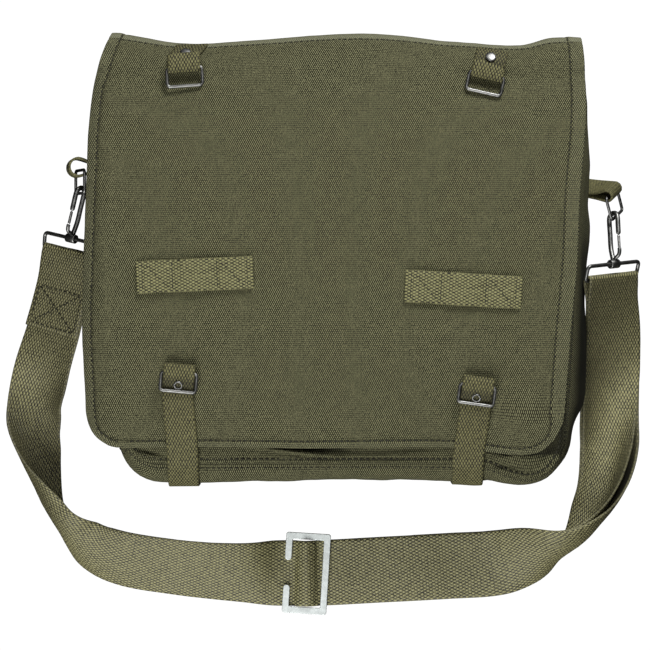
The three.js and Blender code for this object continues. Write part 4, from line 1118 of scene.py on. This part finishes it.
def buildKeeper(side):
    x, y, heading = keeperSet[side]
    turn = math.radians(heading)
    length, width, steps = keeperSet["length"], bandSet["width"], keeperSet["steps"]
    up = Vector((0, 0, 1))
    rows, weave = [], []

    def spot(along, across, lift):
        px = x + along * math.cos(turn) - across * math.sin(turn)
        py = y + along * math.sin(turn) + across * math.cos(turn)
        arch = keeperSet["rise"] * (1 - ease(abs(along), keeperSet["loop"] / 4, keeperSet["loop"] / 2))
        return Vector((px, py, flapTop(px, py) + gap + webbing / 2 + arch + lift))

    def sewn(along, across, lift):
        return spot(along, across, lift) + up * (webbing / 2), up

    for k in range(steps + 1):
        along = (k / steps - 0.5) * length
        sunk = sum(ridge(keeperSet["seamSink"], along - seam) for seam in keeperSet["seams"])
        ends = keeperSet["endRise"] * ease(abs(along), *keeperSet["endRange"])
        line, spots = [], []
        for share in bandShares():
            lift = ends - sunk * (1 - ease(abs(share), *keeperSet["seamEdge"]))
            line.append(spot(along, share * width, lift))
            spots.append((share * width, along))
        rows.append(line)
        weave.append(spots)
    node = "keeper_" + side
    item = makeSheet("keeperWebbing." + side, rows, weave, webbing, litKeeperCloth, "webbing", [node])
    lines = []
    for seam in keeperSet["seams"]:
        lines.append([sewn(seam, across, keeperSet["threadSink"]) for across in keeperSet["seamSpots"]])
    half, rise = keeperSet["diagonalHalf"], keeperSet["diagonalRise"]
    for low, high in keeperSet["diagonals"]:
        shares = (0, 0.25, 0.5, 0.75, 1)
        lines.append([sewn(between(low, high, t), between(half, -half, t), rise) for t in shares])
    return lines


tabSet = {
    "left": {"x": -107, "bar": 195.5, "turn": 4, "lean": 7, "rivet": 10.5},
    "right": {"x": 123, "bar": 189.5, "turn": -13, "lean": 0, "rivet": 13},
    "length": 21, "square": 6, "flapStep": 0.5, "dusk": 0.3, "duskRows": (2, 2.4),
    "under": [21, 14, 8, 5.5, 3],  # rows of the layer on the flap, up from the bar
    "over": [(3, 1.0), (7.2, 1.0)],  # rows of the short end over it, and the share of the bar's height left
}


def flapLine(x):  # the flap over the mouth and down the front at one x
    points = []
    for y, z, wave in list(zip(*flapSet["top"].values()))[1:]:
        left, right = flapMouthPoint(y, z, wave, 0).x, flapMouthPoint(y, z, wave, 1).x
        points.append(flapMouthPoint(y, z, wave, (x - left) / (right - left)))
    points += [Vector((x, y, flapHeight(x, y))) for y in flapSet["front"][:3]]
    return [splineAt(points, at) for at in fineSteps(points, tabSet["flapStep"])]


def flapSpot(x, bar, up):  # place at a distance up the flap from a tab's bar, its way up and its normal
    line = flapLine(x)
    onFront = range(len(line) // 4, len(line))
    k = next(k for k in onFront if line[k].y <= bar and line[k].z > flapSet["onFront"])
    walked = 0.0
    step = -1 if up >= 0 else 1
    while walked < abs(up) and 1 < k < len(line) - 2:
        walked += (line[k + step] - line[k]).length
        k += step
    way = (line[k - 1] - line[k + 1]).normalized()
    return line[k].copy(), way, Vector((1, 0, 0)).cross(way).normalized()


def buildTab(side):
    fit = tabSet[side]
    angle = math.radians(fit["turn"])
    width = bandSet["width"]
    lower = canvas / 2 + bandSet["tabPlay"] + webbing / 2
    barRise = lower + bandTurn

    def spotAt(up, share):
        across = share * width
        aside = across * math.cos(angle) - up * math.sin(angle)
        aside += fit["lean"] * ease(up, tabSet["square"], tabSet["length"])
        return flapSpot(fit["x"] + aside, fit["bar"], up * math.cos(angle) + across * math.sin(angle))

    seat, way, normal = spotAt(0, 0)
    axis = (Vector((math.cos(angle), 0, 0)) + way * math.sin(angle)).normalized()
    upWay = normal.cross(axis)
    hinge = seat + normal * barRise

    def lying(up, rise, share):
        point, _, out = spotAt(up, share)
        return point + out * rise

    def tuckShade(at):
        return tabSet["dusk"] * (1 - ease(at, *tabSet["duskRows"]))

    upper, top = lower + webbing + gap, barRise + bandTurn
    columns = []
    for share in bandShares():
        points = [lying(up, lower, share) for up in tabSet["under"]]
        for up, rise in turnRound(0, 0, bandTurn, 270, 90):
            points.append(hinge + axis * (share * width) + upWay * up + normal * rise)
        points += [lying(up, between(upper, top, slack), share) for up, slack in tabSet["over"]]
        columns.append(points)
    makeBand("tabWebbing." + side, columns, "top_tab_" + side, tuckShade)
    drop = ringSet["drop"]
    turned = Matrix((axis, upWay, normal)).transposed().to_4x4()
    turned = turned @ Matrix.Rotation(math.radians(ringSet["lean"]), 4, "X")
    place = Matrix.Translation(hinge) @ turned @ Matrix.Translation((0, -drop / 2, 0))
    makeBandRing("topRing." + side, drop, place, "top_ring_" + side, "ring_" + side)
    point, way, out = spotAt(fit["rivet"], 0)
    place = Matrix.Translation(point + out * (lower + webbing / 2 + rivetSet["rise"]))
    place = place @ Matrix((Vector((1, 0, 0)), way, out)).transposed().to_4x4()
    makeTurned("topRivet." + side, rivetSet["profile"], place, "top_rivet_" + side, False)


keeperLines = []
for side in ("left", "right"):
    buildClosure(side)
    keeperLines += buildKeeper(side)
    buildTab(side)
sewPiece("keeperSewing", keeperLines, "webbing")
print("front webbing built")


# the shoulder strap: twist turns its width over, curl bends it, lift is the height of its lowest edge
strapSet = {
    "width": 50, "columns": 22, "substeps": 7, "overlapEnd": 2.2, "returnEnd": 24, "layer": 1.15,
    "wire": 1.5, "wrapPlay": 1.1, "wrapSteps": 10, "frameInner": 51.2, "framePitch": 12, "frameCorner": 3,
    "nudge": 0.05, "leastCurl": 0.01, "lowShares": (-0.5, -0.35, -0.2, 0, 0.2, 0.35, 0.5),
    "parting": 4.2, "partingAt": 32, "partingRun": 2.6,  # where the doubled strap opens in its right turn
    "partingEdge": (0, 0.4), "partingDusk": (0, 0.2), "partingRim": (0.46, 0.5),
    "leanDusk": 1.6, "leanMost": 0.5, "leanRun": (-175, -120),  # shade where the strap stands on its edge
    "ripples": [(0.25, 17, 0.0), (0.12, 5, 2.0)],
    "boxRows": (1.1, 2.1), "boxHalf": 0.43, "boxSteps": 14, "threadRise": 0.15,
}
strapStations = table(
    "x y lift twist curl",
    (-195.7, 54.8, 20, -35, 0), (-202, 29, 12, -34, 0), (-209.8, 0.8, 4, -32, 0), (-218.6, -30, 0.2, -28, 25),
    (-225.8, -62, 0, -14, 108), (-224.3, -83.5, 0, 24, 128), (-218.4, -102.2, 0, 48, 138),
    (-212, -117.5, 0, 70, 150), (-204.5, -133.5, 0, 92, 150), (-197.2, -148, 0, 106, 130),
    (-188, -162.2, 0, 135, 100), (-174.7, -174, 0, 146, 60), (-153, -182, 0, 150, 25),
    (-121, -187.2, 0, 151, 0), (-89.7, -190.7, 0, 153, 0), (-58.5, -192.6, 0, 160, 0),
    (-38, -193.2, 0, 177, 0), (-25, -193.3, 0, 180, 0), (-20, -193.4, 4.2, 180, 0),
    (-14.5, -193.4, 6.5, 180, 0), (-9, -193.3, 4.2, 180, 0), (-4, -193.2, 0, 180, 0),
    (12, -192.5, 0, 180, 0), (38, -191, 0.4, 180, 0), (66, -189.4, 1.3, 180, 0), (98, -187.6, 1.3, 180, 0),
    (128, -185.8, 1.3, 176, 0), (147, -181.5, 1.3, 164, 25), (166.8, -173, 1.3, 143, 80),
    (185.5, -160, 1.3, 98, 140),
    (199.5, -144.5, 1.3, 64, 150), (210.5, -129, 1.3, 43, 135), (217, -112.5, 1.3, 26, 122),
    (220.3, -94, 1.3, 12, 110), (220.8, -77.5, 1.3, -4, 104), (221.4, -57, 1.3, -16, 84),
    (222.6, -31, 1.3, -27, 30), (222.4, -4, 8, -31, 0), (220.5, 17, 21, -36, 0), (218.4, 35.5, 31.5, -39, 0))
strapStations["at"] = list(range(len(strapStations["x"])))
strapLast = strapStations["at"][-1]
wrapRadius = strapSet["wire"] + strapSet["wrapPlay"] + webbing / 2


def strapRead(column, at):
    return sample(strapStations, "at", column, at)


def strapSection(at):
    ahead, behind = min(at + strapSet["nudge"], strapLast), max(at - strapSet["nudge"], 0)
    dx, dy = (strapRead(column, ahead) - strapRead(column, behind) for column in ("x", "y"))
    way = Vector((dx, dy, 0)).normalized()
    right = Vector((way.y, -way.x, 0))
    twist = math.radians(strapRead("twist", at))
    curl = max(math.radians(strapRead("curl", at)), strapSet["leastCurl"])
    radius = strapSet["width"] / curl
    chord = right * math.cos(twist) + Vector((0, 0, math.sin(twist)))
    belly = right * math.sin(twist) - Vector((0, 0, math.cos(twist)))

    def spot(share):
        turn = curl * share
        normal = chord * math.sin(turn) + belly * math.cos(turn)
        bowed = belly * (radius * (math.cos(turn) - math.cos(curl / 2)))
        return chord * (radius * math.sin(turn)) + bowed, normal

    lowest = min(spot(share)[0].z for share in strapSet["lowShares"])
    height = strapRead("lift", at) + webbing / 2 + gap - lowest
    return Vector((strapRead("x", at), strapRead("y", at), height)), chord, spot


def strapParting(at):
    return max(0.0, 1 - ((at - strapSet["partingAt"]) / strapSet["partingRun"]) ** 2)


def strapSpread(at):
    layer = strapSet["layer"]
    left = layer * (1 - ease(at, strapSet["overlapEnd"], strapSet["overlapEnd"] + 1))
    right = layer * ease(at, strapSet["returnEnd"] - 1, strapSet["returnEnd"])
    opening = (1 - ease(at, 0, 1)) + ease(at, strapLast - 1, strapLast)
    return left + right + (wrapRadius - layer) * opening


def strapShares():
    return [k / strapSet["columns"] - 0.5 for k in range(strapSet["columns"] + 1)]


def strapSpot(at, share, layer, lift=0.0):
    centre, _, spot = strapSection(at)
    point, normal = spot(share)
    return centre + point + normal * (strapSpread(at) * layer + lift * layer), normal * layer


def strapRow(at, layer):
    centre, _, spot = strapSection(at)
    parting = strapParting(at)
    points, normals, dusk = [], [], []
    for share in strapShares():
        point, normal = spot(share)
        shift = strapSpread(at) * layer
        if layer < 0:
            shift -= strapSet["parting"] * parting * ease(share, *strapSet["partingEdge"])
        points.append(centre + point + normal * shift)
        normals.append(normal * layer)
        # painted shade where the strap leans over on its edge, and in the gap where the doubled strap opens
        lean = strapSet["leanDusk"] * (1 - abs(normal.z)) * ease(points[-1].y, *strapSet["leanRun"])
        shade = clamp(lean, 0, strapSet["leanMost"])
        if layer > 0:
            shade = max(shade, parting * within(share, strapSet["partingDusk"], strapSet["partingRim"]))
        dusk.append(shade)
    return points, normals, dusk


def strapEnd(at, inside):
    centre, chord, spot = strapSection(at)
    way = centre - strapSection(inside)[0]
    way = (way - chord * way.dot(chord)).normalized()
    return centre, chord, way, spot(0)[1]


def wrapRows(end, start):
    centre, chord, way, out = end
    rows = []
    for k in range(1, strapSet["wrapSteps"]):
        angle = math.radians(start * (90 - 180 * k / strapSet["wrapSteps"]))
        normal = out * math.sin(angle) + way * math.cos(angle)
        edge = centre + normal * wrapRadius
        points = [edge + chord * (share * strapSet["width"]) for share in strapShares()]
        rows.append((points, [normal] * len(points), [0.0] * len(points)))
    return rows


def strapPlaces(start, end):
    count = round(abs(end - start) * strapSet["substeps"])
    return [between(start, end, k / count) for k in range(count + 1)]


def buildStrap():
    leftEnd, rightEnd = strapEnd(0, 0.1), strapEnd(strapLast, strapLast - 0.1)
    rows = [strapRow(at, -1) for at in strapPlaces(strapSet["overlapEnd"], 0)]
    rows += wrapRows(leftEnd, -1)
    rows += [strapRow(at, 1) for at in strapPlaces(0, strapLast)]
    rows += wrapRows(rightEnd, 1)
    rows += [strapRow(at, -1) for at in strapPlaces(strapLast, strapSet["returnEnd"])]
    points = [row[0] for row in rows]
    normals = [row[1] for row in rows]
    lengths = runLengths(points, strapSet["columns"] // 2)
    weave = [[(share * strapSet["width"], along) for share in strapShares()] for along in lengths]
    for i, line in enumerate(points):
        for j, point in enumerate(line):
            ripple = uneven(strapSet["ripples"], lengths[i], weave[i][j][0])
            line[j] = point + normals[i][j] * ripple
    shade = [row[2] for row in rows]
    item = makeSheet("strapWebbing", points, weave, webbing, strapCloth, "webbing", ["shoulder_strap"],
                     normals, shade)
    return {"left": leftEnd, "right": rightEnd}


def strapSewing():  # box and cross that hold the folded end on the left
    low, high = strapSet["boxRows"]
    side, steps = strapSet["boxHalf"], strapSet["boxSteps"]
    rise = webbing / 2 + strapSet["threadRise"]

    def run(a, b):
        shares = [k / steps for k in range(steps + 1)]
        return [strapSpot(between(a[0], b[0], t), between(a[1], b[1], t), -1, rise) for t in shares]

    corners = [(low, -side), (low, side), (high, side), (high, -side)]
    lines = [run(corners[k], corners[(k + 1) % 4]) for k in range(4)]
    return lines + [run(corners[0], corners[2]), run(corners[1], corners[3])]


strapEnds = buildStrap()
sewPiece("strapSewing", strapSewing(), "webbing")
print("strap built")


# side loops, links, hooks and frames
sideSet = {
    "left": {
        "base": (-169.6, 120.5, 43), "root": (0, 0, 1), "out": (-0.985, 0, 0.17), "width": (0.17, 0, 0.985),
        "loop": 27, "belly": 6.8, "barAlong": 18, "barFall": 2.2,
        "linkWay": (0.36, 0, 0.933), "linkFall": (0, -1, 0), "linkSlide": 0, "noseWay": (-0.6, 0, 0.8)},
    "right": {
        "base": (201.5, 105.1, 34.8), "root": (0, 0.6, -0.8), "out": (0.93, -0.13, 0.34),
        "width": (0.43, 0.37, -0.82), "loop": 24, "belly": 4.4, "barAlong": 19.6, "barFall": 1.5,
        "linkWay": (0.43, 0.37, -0.82), "linkFall": (0.267, -0.923, -0.277), "linkSlide": -8,
        "noseWay": (0.6, 0, 0.8)},
    "loopWidth": 20, "root": 1.3, "waist": 0.45, "step": 1.8,
    "linkWire": 1.2, "linkInner": 20.8, "linkPitch": 17.6,
}
hookSet = {
    "wire": 1.9, "bend": 4.6, "play": 1.3, "stem": 2.2, "stemLine": [(0.4, 2.6), (2.2, 13), (2.2, 24)],
    "armWire": 1.5, "armRoot": 3.2, "armElbow": (-5.6, 5.6), "armEnd": 2.4,
    "noseEnd": 22, "noseShare": 0.6, "gateFoot": 11, "gatePlay": 0.6, "gate": 1.1,
    "barrel": 9, "wall": 1.6, "barrelPlay": 0.4, "rimFall": 0.3, "rimBevel": 0.4, "rimRound": 0.5,
    "noseTaper": (0.55, 0.86, 0.97), "armTaper": (0.7, 0.94), "gateTaper": (0.6, 0.93),
}


def placedAt(origin, xAxis, yAxis):
    zAxis = xAxis.cross(yAxis).normalized()
    upright = zAxis.cross(xAxis).normalized()
    return Matrix.Translation(origin) @ Matrix((xAxis, upright, zAxis)).transposed().to_4x4()


def buildSideLoop(side):
    fit = sideSet[side]
    base = Vector(fit["base"])
    root, out, width, barWay, fall = (
        Vector(fit[key]).normalized() for key in ("root", "out", "width", "linkWay", "linkFall"))
    out = (out - width * out.dot(width)).normalized()
    aside = width.cross(out)
    belly = fit["belly"]
    centre = fit["loop"] - belly
    waist = (centre * sideSet["waist"], belly / 2)
    line = [(0, sideSet["root"]), waist, *turnRound(centre, 0, belly, 110, -110, 7)]
    line += [(waist[0], -waist[1]), (0, -sideSet["root"])]
    columns = []
    for share in bandShares():
        points = []
        for along, off in line:
            across = root.lerp(width, ease(along, 0, centre)).normalized()
            points.append(base + out * along + aside * off + across * (share * sideSet["loopWidth"]))
        columns.append(points)
    makeBand("loopWebbing." + side, columns, "side_loop_" + side, step=sideSet["step"])
    fall = (fall - barWay * fall.dot(barWay)).normalized()
    bar = base + out * fit["barAlong"] + fall * fit["barFall"]
    wire = sideSet["linkWire"]
    place = placedAt(bar + fall * (sideSet["linkPitch"] / 2), barWay, -fall)
    size = (sideSet["linkInner"] + 2 * wire, sideSet["linkPitch"], ringSet["corner"], wire)
    makeWireRing("sideLink." + side, size, place, "side_link_" + side)
    return bar + fall * sideSet["linkPitch"] + barWay * fit["linkSlide"]


def wireAlong(points, wire, place, steps, taper=(), sides=14):
    # round wire along a smooth line; taper gives shares of the radius, counted back from the end
    path = [splineAt(points, k * (len(points) - 1) / steps) for k in range(steps + 1)]
    up = Vector((0, 0, 1))
    rings = []
    for k, point in enumerate(path):
        way = (path[min(k + 1, steps)] - path[max(k - 1, 0)]).normalized()
        fromEnd = steps - k
        radius = wire * (taper[fromEnd] if fromEnd < len(taper) else 1.0)
        ring = ringOf(point, up.cross(way).normalized(), up, radius, sides)
        rings.append([place @ spot for spot in ring])
    return tubeParts(rings)


def barrelParts(axis, place):
    inner = strapSet["wire"] + hookSet["barrelPlay"]
    outer = inner + hookSet["wall"]
    half = hookSet["barrel"] / 2
    rim = [(inner, half - hookSet["rimFall"]), (outer - hookSet["rimBevel"], half)]
    rim.append((outer, half - hookSet["rimRound"]))
    profile = [(r, -z) for r, z in rim] + rim[::-1]
    turned = place @ Vector((0, 0, 1)).rotation_difference(axis).to_matrix().to_4x4()
    return turnedParts(profile, turned, sides=24)


def makeFrame(side, end):
    centre, chord, way, _ = end
    pitch, wire = strapSet["framePitch"], strapSet["wire"]
    size = (strapSet["frameInner"] + 2 * wire, pitch, strapSet["frameCorner"], wire)
    place = placedAt(centre + way * (pitch / 2), chord, way)
    makeWireRing("strapFrame." + side, size, place, "strap_frame_" + side)


def buildHook(side, end, heldBar):
    centre, chord, way, _ = end
    hub = centre + way * strapSet["framePitch"]
    bendSide = hookSet["stem"] - hookSet["bend"]
    span = heldBar - hub
    crest = hookSet["bend"] - hookSet["wire"] - hookSet["play"] - sideSet["linkWire"]
    reach = math.sqrt(span.length_squared - bendSide ** 2) - crest
    lean = math.atan2(bendSide, reach)
    along = span.normalized()
    nose = Vector(sideSet[side]["noseWay"])
    nose = (nose - along * nose.dot(along)).normalized()
    yAxis = along * math.cos(lean) + nose * math.sin(lean)
    xAxis = (yAxis * nose.dot(yAxis) - nose).normalized()
    place = placedAt(hub, xAxis, yAxis)
    tip = bendSide - hookSet["bend"]
    noseEnd, foot = hookSet["noseEnd"], hookSet["gateFoot"]

    def wire(spots, radius, steps, taper):  # through places in the hook's own plane
        return wireAlong([Vector((x, y, 0)) for x, y in spots], radius, place, steps, taper)

    bend = turnRound(bendSide, reach, hookSet["bend"], 0, 180, 4)
    nosePoints = [(tip, between(reach, noseEnd, hookSet["noseShare"])), (tip, noseEnd)]
    arm = [(0, hookSet["armRoot"]), hookSet["armElbow"], (tip, foot - hookSet["armEnd"]), (tip, foot)]
    parts = joinParts([
        barrelParts((place.to_3x3().inverted() @ chord).normalized(), place),
        wire(hookSet["stemLine"] + bend + nosePoints, hookSet["wire"], 54, hookSet["noseTaper"]),
        wire(arm, hookSet["armWire"], 20, hookSet["armTaper"]),
    ])
    makePiece("snapHook." + side, *parts, darkNickel, "dark_nickel", ["hook_" + side])
    low, high = foot + hookSet["gatePlay"], noseEnd - hookSet["gatePlay"]
    spots = [(tip, between(low, high, k / 3)) for k in range(4)]
    gate = wire(spots, hookSet["gate"], 14, hookSet["gateTaper"])
    node = "hook_gate_" + side
    makePiece("snapGate." + side, *gate, polishedNickel, "bright_metal", [node], "gate_" + side)


for side in ("left", "right"):
    held = buildSideLoop(side)
    makeFrame(side, strapEnds[side])
    buildHook(side, strapEnds[side], held)
print("side fittings built")


# flat C-shaped slider on the strap
sliderSet = {
    "x": -14.5, "y": -193.4, "seat": 3.2, "width": 34.8, "height": 63, "bar": 5.2, "mouth": 19,
    "thick": 1.8, "turn": -3.5, "corner": 2, "inside": 0.8, "soft": 0.45, "bevel": 0.3,
}


def sliderOutline():  # clockwise round the outside from the mouth, then back round the window
    bar, corner, inside = (sliderSet[key] for key in ("bar", "corner", "inside"))
    right, top, mouth = (sliderSet[key] / 2 for key in ("width", "height", "mouth"))
    half = bar / 2
    points = turnRound(half - right, mouth + half, half, 0, -180, 12)
    for sx, sy, start in ((-1, 1, 180), (1, 1, 90), (1, -1, 0), (-1, -1, -90)):
        points += turnRound(sx * (right - corner), sy * (top - corner), corner, start, start - 90, 6)
    points += turnRound(half - right, -mouth - half, half, 180, 0, 12)
    wide, tall = right - bar - inside, top - bar - inside
    for sx, sy, start in ((-1, -1, 180), (1, -1, 270), (1, 1, 0), (-1, 1, 90)):
        points += turnRound(sx * wide, sy * tall, inside, start, start + 90, 4)
    return points


def buildSlider():
    outline = [Vector(point) for point in sliderOutline()]
    soft, thick = sliderSet["soft"], sliderSet["thick"]
    bevel = soft * sliderSet["bevel"]
    place = Matrix.Translation((sliderSet["x"], sliderSet["y"], sliderSet["seat"]))
    place = place @ Matrix.Rotation(math.radians(sliderSet["turn"]), 4, "Z")
    lower = [(soft, 0), (bevel, bevel), (0, soft)]  # inset and height round the lower edge
    rings = []
    for inset, z in lower + [(inset, thick - z) for inset, z in lower[::-1]]:
        ring = []
        for k, point in enumerate(outline):
            way = (outline[(k + 1) % len(outline)] - outline[k - 1]).normalized()
            spot = point + Vector((way.y, -way.x)) * inset
            ring.append(place @ Vector((spot.x, spot.y, z)))
        rings.append(ring)
    points, faces = tubeParts(rings)
    flat = (len(faces) - 2, len(faces) - 1)
    makePiece("strapSlider", points, faces, satinAluminium, "bright_metal", ["slider"], flatFaces=flat)


buildSlider()
print("slider built")


# pale floor and soft light: the floor is lit white for the camera alone and sends no light back
stageSet = {"half": 4, "floor": -0.0006, "glow": 1.05}


def addStage():
    board = Board("paleFloor")
    board.finish({"Base Color": (0, 0, 0, 1), "Roughness": 1.0, "Specular IOR Level": 0.0,
                  "Emission Color": (1, 1, 1, 1), "Emission Strength": stageSet["glow"]})
    mesh = bpy.data.meshes.new("paleFloor")
    half = stageSet["half"]
    corners = [(x * half, y * half, stageSet["floor"]) for x, y in ((-1, -1), (1, -1), (1, 1), (-1, 1))]
    mesh.from_pydata(corners, [], [(0, 1, 2, 3)])
    mesh.materials.append(board.material)
    floor = bpy.data.objects.new("paleFloor", mesh)
    bpy.context.scene.collection.objects.link(floor)
    floor.visible_diffuse = False
    floor.visible_glossy = False
    world = bpy.data.worlds.new("studio")
    world.use_nodes = True
    world.node_tree.nodes["Background"].inputs["Color"].default_value = (1, 1, 1, 1)
    world.node_tree.nodes["Background"].inputs["Strength"].default_value = lightSet["dome"]
    bpy.context.scene.world = world
    for name in ("softbox", "topLight", "lowLight"):
        light = lightSet[name]
        lamp = bpy.data.lights.new(name, "AREA")
        lamp.energy = light["power"]
        lamp.size = light["size"]
        item = bpy.data.objects.new(name, lamp)
        item.location = light["place"]
        item.rotation_euler = (Vector(light["aim"]) - item.location).to_track_quat("-Z", "Y").to_euler()
        bpy.context.scene.collection.objects.link(item)
    bpy.context.scene.view_settings.view_transform = "Standard"


addStage()
print("stage lit")
